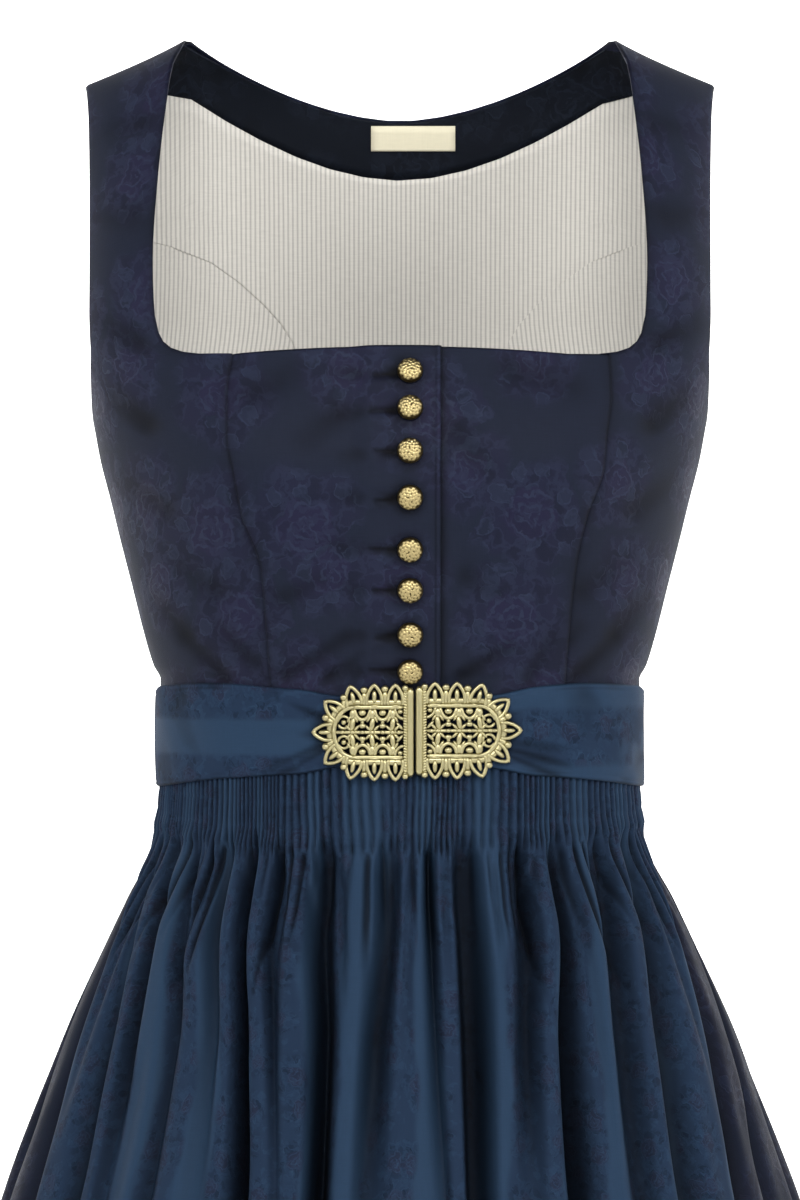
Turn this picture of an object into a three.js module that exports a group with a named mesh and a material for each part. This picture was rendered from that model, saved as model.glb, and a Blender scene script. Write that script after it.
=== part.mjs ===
// Dirndl: fitted bodice with a square neckline, buttoned front, belt with a pierced clasp, gathered skirt
// and a smocked apron. Millimetres, +Z up, the front faces -Y, the wearer's right side is -X.
// The origin lies midway between the shoulders of the wearer who holds the dress up.
import * as THREE from "three";

// Cloth
const BODICE_WALL = 1.6;
const LINING_WALL = 1.0;
const SKIRT_WALL = 1.8;
const APRON_WALL = 1.6;
const BELT_WALL = 2.0;
const SEAM_GAP = 0.3;
const LAYER_GAP = 0.3;
const EASE = 0.15;

// Levels, as drops below the shoulder line
const WAIST_SEAM = 377;
const NECKLINE = 167;
const NECKLINE_RISE = 4;
const UNDERARM = 206;
const SKIRT_LENGTH = 700;
const APRON_LENGTH = 660;
const STRAP_ROWS = [75, 50, 30, 15, 5, 1, 0];
const BODY_ROWS = [WAIST_SEAM - SEAM_GAP, 345, 338, 322, 300, 275, 252, 228, UNDERARM, 190, 178];

// Shoulders: the ridge is flat near the neck and slopes out to the tip of the strap
const SHOULDER = {
  neckX: 119, tipX: 176, tipFall: 27, fadeFrom: 40, fadeTo: 150, height: 14, seamTo: 0.5, split: 0.25, splitTo: 5,
};

// Front closing
const LAP = { foldX: -28, fullX: -14, rightEdgeX: 22, leftEdgeX: -9 };
const LAP_LIFT = BODICE_WALL + LAYER_GAP + EASE;
const BUTTON = { across: 14, x: 5.5, drops: [178, 198, 221, 245, 273, 295, 319, 339] };

// Bust cups
const CUP = { x: 88, drop: 226, width: 42, height: 48, depth: 12 };

// Neck scoop and facing at the back, as drops at the centre
const BACK_NECK = { depth: 42, power: 1.75 };
const FACING = { depth: 72, rise: 42, power: 1.85, least: 12 };
const YOKE = { from: 91, facing: 50, rows: [70, 50, 32, 17, 6, 1.5, 0], facingRows: [49, 32, 17, 6, 1.5] };
const LABEL = { x: 7.5, width: 48, drop: 44, height: 13 };

// Waist, belt and clasp
const WAIST = { half: 134, front: 101, back: 94, exponent: 2.2 };
const BELT = { lift: 0.9, rightEndX: -38, leftEndX: 48, columns: 44 };
const CLASP = {
  lift: 3.5, thick: 2.2, centreX: 8, drop: 372, barFrom: 1, barWidth: 5.4, barHalf: 24.6,
  petalReach: 12, petalHalf: 3.9, petalFoot: 0.6, rim: 1.5, holeFoot: 2, holeTip: 2.4,
};

// Skirt and apron, as drops below the waist seam
const SIDE_SEAM_ANGLE = 97;
const SKIRT_ROWS = [SEAM_GAP, 28, 46, 63, 76, 92, 130, 185, 259, 350, 450, 570, SKIRT_LENGTH];
const APRON_FOLD_ROWS = [76, 92, 110, 130, 155, 185, 220, 259, 350, 450, 570, APRON_LENGTH];
const SMOCKING = { gathers: 93, from: 28, middle: 44, sideBottom: 51, centreBottom: 63, height: 1.0, sink: 0.3 };
const BACK_GATHERS = { count: 46, height: 0.5, rows: 3 };
const APRON_LIFT = 0.6;
const UNDER_APRON = 1.9;
const RIDGE_HEIGHT = 2;
const FOLD_SHOULDER = { share: 0.27, fall: 0.28 };
const FAN = { reach: 77, atWaist: 0.15, atSmocking: 0.11, straighten: 0.4 };
const GROWTH = { start: 0.5, flare: 1.15, extra: 6 };
const SIDE_SEAM_INSET = 0.1;

// Half-width, depths and squareness of the bodice by drop below the shoulder line
const BODY = [
  { drop: 0, half: 180, exponent: 3.0 },
  { drop: 140, half: 180, exponent: 3.0 },
  { drop: 170, half: 177, exponent: 2.8 },
  { drop: 190, half: 173.5, exponent: 2.7 },
  { drop: 206, half: 170.5, exponent: 2.6 },
  { drop: 223, half: 167.4, exponent: 2.45 },
  { drop: 245, half: 161.8, exponent: 2.4 },
  { drop: 268, half: 156.2, exponent: 2.35 },
  { drop: 290, half: 150.6, exponent: 2.3 },
  { drop: 324, half: 142, exponent: 2.25 },
  { drop: 338, half: 137.6, exponent: 2.2 },
  { drop: 345, half: 134, exponent: 2.2 },
  { drop: 405, half: 134, exponent: 2.2 },
];
const DEPTH = [
  { drop: 0, front: 0.1, back: 0.1 },
  { drop: 1, front: 10, back: 10 },
  { drop: 4, front: 22, back: 22 },
  { drop: 10, front: 36, back: 35 },
  { drop: 20, front: 48, back: 46 },
  { drop: 35, front: 59, back: 56 },
  { drop: 55, front: 70, back: 64 },
  { drop: 80, front: 82, back: 74 },
  { drop: 110, front: 94, back: 84 },
  { drop: 161, front: 110, back: 97 },
  { drop: 206, front: 124, back: 103 },
  { drop: 228, front: 128, back: 102 },
  { drop: 279, front: 118, back: 96.5 },
  { drop: 325, front: 106.5, back: 94.6 },
  { drop: 338, front: 103, back: 94.6 },
  { drop: 345, front: 101.2, back: 94 },
  { drop: 351, front: 101, back: 94 },
  { drop: 405, front: 101, back: 94 },
];

// Seams and edges as distances from the middle, by drop below the shoulder line
const PRINCESS = [
  { drop: 167, right: 91, left: 114 },
  { drop: 190, right: 94, left: 115 },
  { drop: 212, right: 94, left: 112.5 },
  { drop: 230, right: 91, left: 111 },
  { drop: 256, right: 86, left: 102 },
  { drop: 284, right: 76, left: 96 },
  { drop: 321, right: 73, left: 92.5 },
  { drop: 377, right: 69, left: 89 },
];
const NECK_SIDE = [
  { drop: 0, x: 120 },
  { drop: 12, x: 126.5 },
  { drop: 33, x: 129.5 },
  { drop: 70, x: 133.5 },
  { drop: 113, x: 136 },
  { drop: 141, x: 135 },
  { drop: 156, x: 132 },
  { drop: 162, x: 127.5 },
  { drop: 165.5, x: 119 },
  { drop: 167, x: 108 },
];
const ARMHOLE = [
  { drop: 0, angle: 75.2 },
  { drop: 20, angle: 72 },
  { drop: 50, angle: 70.4 },
  { drop: 80, angle: 69.7 },
  { drop: 140, angle: 69.1 },
  { drop: 161, angle: 71 },
  { drop: 180, angle: 75.7 },
  { drop: 195, angle: 82 },
  { drop: 203, angle: 87.5 },
  { drop: 206, angle: 90 },
];
const BACK_SEAM = [
  { drop: 86, x: 168 },
  { drop: 99, x: 138 },
  { drop: 114, x: 104 },
  { drop: 127, x: 85 },
  { drop: 141, x: 70 },
  { drop: 151, x: 63 },
  { drop: 175, x: 56 },
  { drop: 210, x: 51 },
  { drop: 300, x: 46 },
  { drop: 377, x: 44 },
];
const BACK_SEAM_ROWS = [167, 151, 141, 127, 114, 100, 91];

// Belt edges by angle from the front, as drops below the shoulder line
const BELT_EDGES = [
  { angle: 0, top: 350, bottom: 394.5 },
  { angle: 22, top: 349.5, bottom: 396 },
  { angle: 45, top: 346.5, bottom: 399 },
  { angle: 75, top: 348.5, bottom: 404 },
  { angle: 90, top: 351, bottom: 405 },
  { angle: 180, top: 350, bottom: 405 },
];

// Skirt form by drop below the waist seam
const SKIRT = [
  { drop: 0, half: 131, front: 98, back: 91, exponent: 2.2 },
  { drop: 28, half: 131.6, front: 98.6, back: 93, exponent: 2.2 },
  { drop: 46, half: 133.6, front: 101, back: 97, exponent: 2.15 },
  { drop: 60, half: 138.4, front: 106, back: 104, exponent: 2.1 },
  { drop: 76, half: 145.6, front: 113, back: 112, exponent: 2.05 },
  { drop: 92, half: 153.5, front: 121, back: 121, exponent: 2 },
  { drop: 126, half: 169.5, front: 137, back: 139, exponent: 2 },
  { drop: 159, half: 184.5, front: 152, back: 155, exponent: 2 },
  { drop: 193, half: 198, front: 167, back: 170, exponent: 2 },
  { drop: 227, half: 211.3, front: 181, back: 184, exponent: 2 },
  { drop: 259, half: 223, front: 193, back: 197, exponent: 2 },
  { drop: 400, half: 266, front: 238, back: 244, exponent: 2 },
  { drop: 550, half: 304, front: 275, back: 282, exponent: 2 },
  { drop: 700, half: 337, front: 305, back: 313, exponent: 2 },
];

// Fold valleys: angle from the front and depth near the yoke, halfway down and at the photograph's edge.
// The first and last rows of the apron's table are its side edges, which lie in valleys of the skirt.
const SIDE_FOLDS_RIGHT = [
  { high: -SIDE_SEAM_ANGLE, middle: -SIDE_SEAM_ANGLE, low: -SIDE_SEAM_ANGLE, depths: [3, 6, 9] },
  { high: -91.5, middle: -88, low: -84, depths: [3, 6, 11] },
];
const APRON_FOLDS = [
  { high: -77, middle: -72, low: -66, depths: [7, 9, 11] },
  { high: -66, middle: -57, low: -53, depths: [4, 12, 14] },
  { high: -58.5, middle: -52, low: -48, depths: [8, 8, 4] },
  { high: -50, middle: -41, low: -38.5, depths: [6, 7, 6] },
  { high: -40, middle: -32.5, low: -30, depths: [7, 5, 2] },
  { high: -33, middle: -27, low: -23, depths: [11, 14, 17] },
  { high: -27, middle: -21.5, low: -17.5, depths: [7, 5, 2] },
  { high: -16, middle: -13, low: -12, depths: [13, 17, 20] },
  { high: -2, middle: -4, low: -5, depths: [9, 10, 6] },
  { high: 6, middle: 6, low: 6.5, depths: [8, 6, 4] },
  { high: 13, middle: 12, low: 10.5, depths: [12, 15, 13] },
  { high: 27, middle: 22, low: 19, depths: [10, 9, 3] },
  { high: 35.5, middle: 29, low: 26, depths: [12, 16, 18] },
  { high: 48, middle: 41.5, low: 37, depths: [9, 9, 8] },
  { high: 60, middle: 50, low: 45, depths: [9, 11, 10] },
  { high: 75, middle: 67, low: 57.5, depths: [6, 9, 10] },
].map((fold) => ({ ...fold, spread: 1 }));
const SIDE_FOLDS_LEFT = [
  { high: 88, middle: 79, low: 66.5, depths: [2, 5, 7] },
  { high: 93, middle: 90, low: 82, depths: [2, 6, 11] },
  { high: SIDE_SEAM_ANGLE, middle: SIDE_SEAM_ANGLE, low: SIDE_SEAM_ANGLE, depths: [3, 6, 9] },
];
const BACK_FOLDS = { count: 14, drift: 2.4, beat: 2.3, depths: [9, 13, 16], swing: 4 };

// Colours as seen
const NAVY = 0x2b3042;
const STEEL_BLUE = 0x34455d;
const FACING_NAVY = 0x20242d;
const LINING_GREY = 0xbbb8b2;
const LABEL_CREAM = 0xd3ccb2;
const GILT = 0xb49f68;

const navyCloth = () => new THREE.MeshStandardMaterial({ color: NAVY, roughness: 0.7, metalness: 0 });
const blueCloth = () => new THREE.MeshStandardMaterial({ color: STEEL_BLUE, roughness: 0.5, metalness: 0 });
const facingCloth = () => new THREE.MeshStandardMaterial({ color: FACING_NAVY, roughness: 0.85, metalness: 0 });
const liningCloth = () => new THREE.MeshStandardMaterial({ color: LINING_GREY, roughness: 0.7, metalness: 0 });
const labelCloth = () => new THREE.MeshStandardMaterial({ color: LABEL_CREAM, roughness: 0.6, metalness: 0 });
const giltMetal = () => new THREE.MeshStandardMaterial({ color: GILT, roughness: 0.35, metalness: 0.9 });

const lerp = THREE.MathUtils.lerp;
const radians = THREE.MathUtils.degToRad;
const smooth = (from, to, value) => THREE.MathUtils.smoothstep(value, from, to);

// A column of a table as a smooth function of its key that never overshoots
function curve(table, column, key = "drop") {
  const xs = table.map((row) => row[key]);
  const ys = table.map((row) => row[column]);
  const steps = xs.slice(1).map((x, i) => (ys[i + 1] - ys[i]) / (x - xs[i]));
  const slopes = xs.map((_, i) => {
    const before = steps[Math.max(i - 1, 0)];
    const after = steps[Math.min(i, steps.length - 1)];
    return before * after <= 0 ? 0 : (2 * before * after) / (before + after);
  });
  return (value) => {
    const clamped = THREE.MathUtils.clamp(value, xs[0], xs[xs.length - 1]);
    let i = 0;
    while (i < steps.length - 1 && clamped > xs[i + 1]) i += 1;
    const run = xs[i + 1] - xs[i];
    const t = (clamped - xs[i]) / run;
    const start = (1 + 2 * t) * (1 - t) ** 2 * ys[i] + t * (1 - t) ** 2 * run * slopes[i];
    return start + t ** 2 * (3 - 2 * t) * ys[i + 1] + t ** 2 * (t - 1) * run * slopes[i + 1];
  };
}

const body = { half: curve(BODY, "half"), exponent: curve(BODY, "exponent") };
const depth = { front: curve(DEPTH, "front"), back: curve(DEPTH, "back") };
const princess = { right: curve(PRINCESS, "right"), left: curve(PRINCESS, "left") };
const neckSide = curve(NECK_SIDE, "x");
const armhole = curve(ARMHOLE, "angle");
const backSeam = curve(BACK_SEAM, "x");
const beltTop = curve(BELT_EDGES, "top", "angle");
const beltBottom = curve(BELT_EDGES, "bottom", "angle");
const skirt = {
  half: curve(SKIRT, "half"),
  front: curve(SKIRT, "front"),
  back: curve(SKIRT, "back"),
  exponent: curve(SKIRT, "exponent"),
};

// A point of a rounded, slightly square section. Angles run from the front centre towards the wearer's left.
function section(half, front, back, exponent, angle) {
  const sine = Math.sin(angle);
  const cosine = Math.cos(angle);
  const x = half * Math.sign(sine) * Math.abs(sine) ** (2 / exponent);
  const reach = cosine >= 0 ? -front : back;
  return new THREE.Vector2(x, reach * Math.abs(cosine) ** (2 / exponent));
}

// The angle at which a section reaches a distance x from the middle, on its front half
function angleAtX(x, half, exponent) {
  return Math.sign(x) * Math.asin(Math.min(1, (Math.abs(x) / half) ** (exponent / 2)));
}

function shoulderHeight(x) {
  const run = (Math.abs(x) - SHOULDER.neckX) / (SHOULDER.tipX - SHOULDER.neckX);
  return SHOULDER.height - SHOULDER.tipFall * Math.max(0, run) ** 0.85;
}

// The outer surface of the bodice, without seams, at an angle and a drop below the shoulder line
function bodicePoint(angle, drop) {
  const frontDepth = depth.front(drop);
  const backDepth = depth.back(drop);
  const flat = section(body.half(drop), frontDepth, backDepth, body.exponent(drop), angle);
  const fade = 1 - smooth(SHOULDER.fadeFrom, SHOULDER.fadeTo, drop);
  const point = new THREE.Vector3(flat.x, flat.y, shoulderHeight(flat.x) * fade - drop);
  if (Math.cos(angle) > 0) {
    const across = (Math.abs(flat.x) - CUP.x) / CUP.width;
    const along = (drop - CUP.drop) / CUP.height;
    point.y -= CUP.depth * Math.exp(-(across ** 2) - along ** 2);
  }
  return point;
}

const bodiceAngle = (x, drop) => angleAtX(x, body.half(drop), body.exponent(drop));

// The same surface moved out by a lift. The shoulder seam's edge moves straight up or down.
function bodiceSkin(angle, drop, lift) {
  const turn = 0.002;
  const rise = 0.4;
  const onSeam = drop < SHOULDER.seamTo;
  const upper = Math.max(drop - rise, 0);
  const around = bodicePoint(angle + turn, drop).sub(bodicePoint(angle - turn, drop));
  const up = bodicePoint(angle, upper).sub(bodicePoint(angle, drop + rise));
  const normal = around.cross(up);
  if (onSeam) normal.set(0, 0, 1);
  const point = bodicePoint(angle, drop).addScaledVector(normal.normalize(), lift);
  if (drop < SHOULDER.splitTo) {
    const side = Math.cos(angle) > 0 ? -1 : 1;
    point.y = side * Math.max(side * point.y, SHOULDER.split);
  }
  return point;
}

// Turns a triangle list over when its body is inside out
function facingOut(positions, index) {
  let volume = 0;
  for (let i = 0; i < index.length; i += 3) {
    const [a, b, c] = [positions[index[i]], positions[index[i + 1]], positions[index[i + 2]]];
    volume += a.dot(b.clone().cross(c));
  }
  return volume < 0 ? index.slice().reverse() : index;
}

// A closed wall between an outer and an inner skin. Each skin is a list of rows from top to bottom, and each row
// a list of points from side to side that carry their place across, so that rows of unlike counts can be joined.
function wall(outer, inner) {
  const positions = [];
  const index = [];
  const numbered = (rows) =>
    rows.map((row) =>
      row.map(({ point, across }) => ({ id: positions.push(point) - 1, across }))
    );
  const triangle = (a, b, c, turned) => index.push(a.id, ...(turned ? [c.id, b.id] : [b.id, c.id]));
  const ribbon = (upper, lower, turned = false) => {
    let i = 0;
    let j = 0;
    while (i < upper.length - 1 || j < lower.length - 1) {
      const nextUpper = i < upper.length - 1 ? upper[i + 1].across : Infinity;
      const nextLower = j < lower.length - 1 ? lower[j + 1].across : Infinity;
      if (nextUpper <= nextLower) {
        triangle(upper[i], lower[j], upper[i + 1], turned);
        i += 1;
      } else {
        triangle(upper[i], lower[j], lower[j + 1], turned);
        j += 1;
      }
    }
  };
  const front = numbered(outer);
  const back = numbered(inner);
  const edge = (rows, side) =>
    rows.map((row, i) => ({ id: row.at(side).id, across: i / (rows.length - 1) }));
  for (let i = 0; i < front.length - 1; i += 1) ribbon(front[i], front[i + 1]);
  for (let i = 0; i < back.length - 1; i += 1) ribbon(back[i], back[i + 1], true);
  ribbon(back[0], front[0]);
  ribbon(front.at(-1), back.at(-1));
  ribbon(edge(front, 0), edge(back, 0));
  ribbon(edge(back, -1), edge(front, -1));
  const geometry = new THREE.BufferGeometry();
  geometry.setAttribute(
    "position",
    new THREE.Float32BufferAttribute(positions.flatMap((point) => point.toArray()), 3)
  );
  geometry.setIndex(facingOut(positions, index));
  geometry.computeVertexNormals();
  return geometry;
}

// Rows of points on a surface: place(row, t) gives the point at the fraction t across a row
function rowsOf(levels, columns, place) {
  return levels.map((level) =>
    Array.from({ length: columns + 1 }, (_, i) => ({
      point: place(level, i / columns),
      across: i / columns,
    }))
  );
}

// A bodice panel: span(drop) gives its two side angles, levelAt(level, angle) bends its rows to a shaped top edge,
// and a panel by width has its columns at even steps across
function bodicePanel({ levels, columns, span, byWidth, levelAt, lift, thick }) {
  const skin = (offset) =>
    rowsOf(levels, columns, (level, t) => {
      const [from, to] = span(level);
      let angle = lerp(from, to, t);
      if (byWidth) {
        const half = body.half(level);
        const exponent = body.exponent(level);
        const start = section(half, 1, 1, exponent, from).x;
        angle = angleAtX(lerp(start, section(half, 1, 1, exponent, to).x, t), half, exponent);
      }
      const drop = levelAt ? levelAt(level, angle) : level;
      return bodiceSkin(angle, drop, offset + (lift ? lift(angle, drop) : 0));
    });
  return wall(skin(0), skin(-thick));
}

// Half of a seam gap as a change of angle, a little more where a seam slants
const SLANT = 1.3;
const gapAngle = (drop) => SEAM_GAP / 2 / body.half(drop);
const atGap = (x, drop, inward) => bodiceAngle(x, drop) - Math.sign(x) * inward * SLANT * gapAngle(drop);

// The side seam below the armhole, or the armhole's edge above it
const rimAngle = (drop) => (drop >= UNDERARM ? Math.PI / 2 : radians(armhole(drop)));

// The front neckline rises a little towards the middle
function frontLevel(level, angle) {
  const x = bodicePoint(angle, level).x;
  const rise = NECKLINE_RISE * Math.max(0, 1 - (x / PRINCESS[0].right) ** 2);
  const bottom = WAIST_SEAM - SEAM_GAP;
  return level - (rise * (bottom - level)) / (bottom - NECKLINE);
}

const FRONT_ROWS = [...BODY_ROWS, NECKLINE];

function frontRight() {
  return bodicePanel({
    levels: FRONT_ROWS,
    columns: 9,
    byWidth: true,
    span: (drop) => [atGap(-princess.right(drop), drop, 1), bodiceAngle(LAP.rightEdgeX, drop)],
    levelAt: frontLevel,
    lift: (angle, drop) => LAP_LIFT * smooth(LAP.foldX, LAP.fullX, bodicePoint(angle, drop).x),
    thick: BODICE_WALL,
  });
}

function frontLeft() {
  return bodicePanel({
    levels: FRONT_ROWS,
    columns: 6,
    byWidth: true,
    span: (drop) => [bodiceAngle(LAP.leftEdgeX, drop), atGap(princess.left(drop), drop, 1)],
    levelAt: frontLevel,
    thick: BODICE_WALL,
  });
}

// Side fronts run from the waist up to the shoulder seam, so each carries its strap
function sideFront(side) {
  const seam = side < 0 ? princess.right : princess.left;
  const innerX = (drop) => (drop >= NECKLINE ? seam(drop) : neckSide(drop));
  return bodicePanel({
    levels: [...FRONT_ROWS, 165.5, 162, 156, 141, 113, 95, ...STRAP_ROWS],
    columns: 5,
    span: (drop) => {
      const inner = atGap(side * innerX(drop), drop, -1);
      const rim = side * (rimAngle(drop) - gapAngle(drop));
      return side < 0 ? [rim, inner] : [inner, rim];
    },
    thick: BODICE_WALL,
  });
}

const BACK_ROWS = [...BODY_ROWS, ...BACK_SEAM_ROWS];
const backAngle = (x, drop) => Math.PI - bodiceAngle(x, drop);

// The back neck dips in the middle and meets the shoulder seam at the neck
function neckDrop(x) {
  return BACK_NECK.depth * Math.max(0, 1 - (Math.abs(x) / SHOULDER.neckX) ** BACK_NECK.power);
}

function facingDrop(x) {
  const fall = FACING.rise * (Math.abs(x) / SHOULDER.neckX) ** FACING.power;
  return Math.max(FACING.depth - fall, FACING.least);
}

// Above the yoke's start the rows of the back bend: one lies along the facing's lower edge, the last on the neck edge
function yokeDrop(level, x) {
  if (level >= YOKE.from) return level;
  const edge = facingDrop(x);
  if (level >= YOKE.facing) return lerp(YOKE.from, edge, (YOKE.from - level) / (YOKE.from - YOKE.facing));
  return lerp(edge, neckDrop(x), (YOKE.facing - level) / YOKE.facing);
}

// Half the width of the back centre: to the curved seam, or above it to the armhole's edge
function backPanelX(drop) {
  if (drop >= BACK_SEAM_ROWS.at(-1)) return backSeam(drop) - SEAM_GAP;
  return section(body.half(drop), 1, 1, body.exponent(drop), rimAngle(drop)).x;
}

// Columns across the back, closer where the straps begin
const BACK_COLUMNS = [-1, -0.84, -0.68, -0.46, -0.22, 0, 0.22, 0.46, 0.68, 0.84, 1];

function backRows(levels, offset) {
  return levels.map((level) =>
    BACK_COLUMNS.map((across) => {
      const x = across * backPanelX(level);
      return {
        point: bodiceSkin(backAngle(x, level), yokeDrop(level, x), offset),
        across,
      };
    })
  );
}

function backCentre() {
  const levels = [...BACK_ROWS, ...YOKE.rows];
  return wall(backRows(levels, 0), backRows(levels, -BODICE_WALL));
}

// Back sides lie between the curved back seam and the side seam, and end in a point at the armhole
function backSide(side, columns, lift, thick) {
  const skin = (offset) =>
    rowsOf(BACK_ROWS, columns, (level, t) => {
      const near = Math.PI - rimAngle(level) + gapAngle(level);
      const seam = backAngle(backSeam(level), level) - SLANT * gapAngle(level);
      return bodiceSkin(side * lerp(near, seam, t), level, offset);
    });
  return wall(skin(lift), skin(lift - thick));
}

const INNER_LIFT = -BODICE_WALL - LAYER_GAP;

function liningCentre() {
  const levels = [...BACK_ROWS, ...YOKE.rows.filter((level) => level >= YOKE.facing)];
  return wall(backRows(levels, INNER_LIFT), backRows(levels, INNER_LIFT - LINING_WALL));
}

function neckFacing() {
  const skin = (offset) => backRows(YOKE.facingRows, offset);
  return wall(skin(INNER_LIFT), skin(INNER_LIFT - LINING_WALL));
}

function label() {
  const lift = INNER_LIFT - LINING_WALL - LAYER_GAP - EASE;
  const skin = (offset) =>
    rowsOf([0, 1], 4, (row, t) => {
      const drop = LABEL.drop + row * LABEL.height;
      const x = LABEL.x + (t - 0.5) * LABEL.width;
      return bodiceSkin(backAngle(x, drop), drop, offset);
    });
  return wall(skin(lift), skin(lift - LINING_WALL));
}

// A domed button on a short shank, its axis along +Y
function buttonGeometry() {
  const radius = BUTTON.across / 2;
  const profile = [
    [0, 0.3],
    [1.8, 0.3],
    [1.8, 1.4],
    [radius - 0.9, 1.6],
    [radius, 2.4],
    [radius * 0.86, 3.8],
    [radius * 0.5, 5],
    [0, 5.5],
  ];
  return new THREE.LatheGeometry(profile.map(([r, y]) => new THREE.Vector2(r, y)), 10);
}

function addButton(group, number, drop) {
  const angle = bodiceAngle(BUTTON.x, drop);
  const foot = bodiceSkin(angle, drop, LAP_LIFT);
  const out = bodiceSkin(angle, drop, LAP_LIFT + 1).sub(foot).normalize();
  const mesh = addMesh(group, `button_${number}`, buttonGeometry(), giltMetal());
  mesh.position.copy(foot);
  mesh.quaternion.setFromUnitVectors(new THREE.Vector3(0, 1, 0), out);
}

// A point on or outside the waist, at an angle and a drop below the shoulder line
function waistPoint(angle, drop, lift) {
  const { half, front, back, exponent } = WAIST;
  const flat = section(half + lift, front + lift, back + lift, exponent, angle);
  return new THREE.Vector3(flat.x, flat.y, -drop);
}

// The belt runs from one half of the clasp round the back to the other
function belt() {
  const start = angleAtX(BELT.leftEndX, WAIST.half, WAIST.exponent);
  const end = 2 * Math.PI + angleAtX(BELT.rightEndX, WAIST.half, WAIST.exponent);
  const skin = (lift) =>
    rowsOf([0, 0.5, 1], BELT.columns, (row, t) => {
      const angle = lerp(start, end, t);
      const fromFront = THREE.MathUtils.radToDeg(Math.min(angle, 2 * Math.PI - angle));
      return waistPoint(angle, lerp(beltTop(fromFront), beltBottom(fromFront), row), lift);
    });
  return wall(skin(BELT.lift + BELT_WALL), skin(BELT.lift));
}

// Where the clasp's petals stand on its rim: place along the half, height, and lean outwards in degrees
const PETALS = [
  { out: 11, up: 14.5, lean: 0 },
  { out: 23, up: 14.5, lean: 0 },
  { out: 34, up: 14, lean: 14 },
  { out: 43.5, up: 9, lean: 52 },
  { out: 46.5, up: 0, lean: 90 },
];

// Cells of the clasp's field between its ribs, along the half
const CELLS = [
  { from: 9, to: 16.5 },
  { from: 18.5, to: 26 },
  { from: 28, to: 35.5 },
];

// An ogive from its base to its tip, as points in the clasp's own plane
function petal({ out, up, lean }, sign, half, reach, foot) {
  const outline = [
    [-half, foot],
    [-half * 1.04, reach * 0.42],
    [-half * 0.62, reach * 0.78],
    [0, reach],
    [half * 0.62, reach * 0.78],
    [half * 1.04, reach * 0.42],
    [half, foot],
  ];
  const turn = radians(lean);
  return outline.map(([side, rise]) => {
    const x = out + side * Math.cos(turn) + rise * Math.sin(turn);
    const y = up - side * Math.sin(turn) + rise * Math.cos(turn);
    return new THREE.Vector2(x, sign * y);
  });
}

// One half of the clasp as a flat shape: a bar, a field and nine petals round it, with holes cut through
function claspShape() {
  const outer = (row, sign) => petal(row, sign, CLASP.petalHalf, CLASP.petalReach, CLASP.petalFoot);
  const paired = PETALS.slice(0, -1);
  const tip = PETALS.at(-1);
  const barEnd = CLASP.barFrom + CLASP.barWidth;
  const outline = [
    new THREE.Vector2(CLASP.barFrom, -CLASP.barHalf),
    new THREE.Vector2(CLASP.barFrom, CLASP.barHalf),
    new THREE.Vector2(barEnd, CLASP.barHalf),
    ...paired.flatMap((row) => outer(row, 1)),
    ...outer(tip, 1),
    ...paired.toReversed().flatMap((row) => outer(row, -1).reverse()),
    new THREE.Vector2(barEnd, -CLASP.barHalf),
  ];
  const shape = new THREE.Shape(outline.reverse());
  const hole = (points) => shape.holes.push(new THREE.Path(points));
  const inner = (row, sign) =>
    petal(row, sign, CLASP.petalHalf - CLASP.rim, CLASP.petalReach - CLASP.holeTip, CLASP.holeFoot);
  for (const row of paired) {
    hole(inner(row, 1));
    hole(inner(row, -1));
  }
  hole(inner(tip, 1));
  CELLS.forEach(({ from, to }, i) => {
    const rise = 0.12 * i;
    const middle = (from + to) / 2;
    for (const sign of [-1, 1]) {
      const corner = (x, y) => new THREE.Vector2(x, sign * (y + rise));
      hole([
        corner(from + 0.4, 1.5),
        corner(middle, 1.2),
        corner(to - 0.4, 1.6),
        corner(to - 0.7, 5.4),
        corner(middle, 4.6),
        corner(from + 0.7, 5.3),
      ]);
      hole([
        corner(from, 11.8),
        corner(from + 1.3, 8.8),
        corner(middle, 7.4),
        corner(to - 1.2, 8.9),
        corner(to, 11.7),
        corner(middle, 12.3),
      ]);
    }
  });
  return shape;
}

// The flat half is bent round the waist
function claspHalf(side) {
  const geometry = new THREE.ExtrudeGeometry(claspShape(), {
    depth: CLASP.thick,
    bevelEnabled: false,
    curveSegments: 4,
  });
  geometry.deleteAttribute("normal");
  geometry.deleteAttribute("uv");
  const place = geometry.attributes.position;
  for (let i = 0; i < place.count; i += 1) {
    const x = CLASP.centreX + side * place.getX(i);
    const lift = CLASP.lift + place.getZ(i);
    const angle = angleAtX(x, WAIST.half + lift, WAIST.exponent);
    const point = waistPoint(angle, CLASP.drop - place.getY(i), lift);
    place.setXYZ(i, point.x, point.y, point.z);
  }
  if (side < 0) flip(geometry);
  geometry.computeVertexNormals();
  return geometry;
}

// Swaps two corners of each triangle of a geometry without an index
function flip(geometry) {
  const place = geometry.attributes.position;
  const a = new THREE.Vector3();
  const b = new THREE.Vector3();
  for (let i = 0; i < place.count; i += 3) {
    a.fromBufferAttribute(place, i);
    b.fromBufferAttribute(place, i + 1);
    place.setXYZ(i, b.x, b.y, b.z);
    place.setXYZ(i + 1, a.x, a.y, a.z);
  }
}

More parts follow.
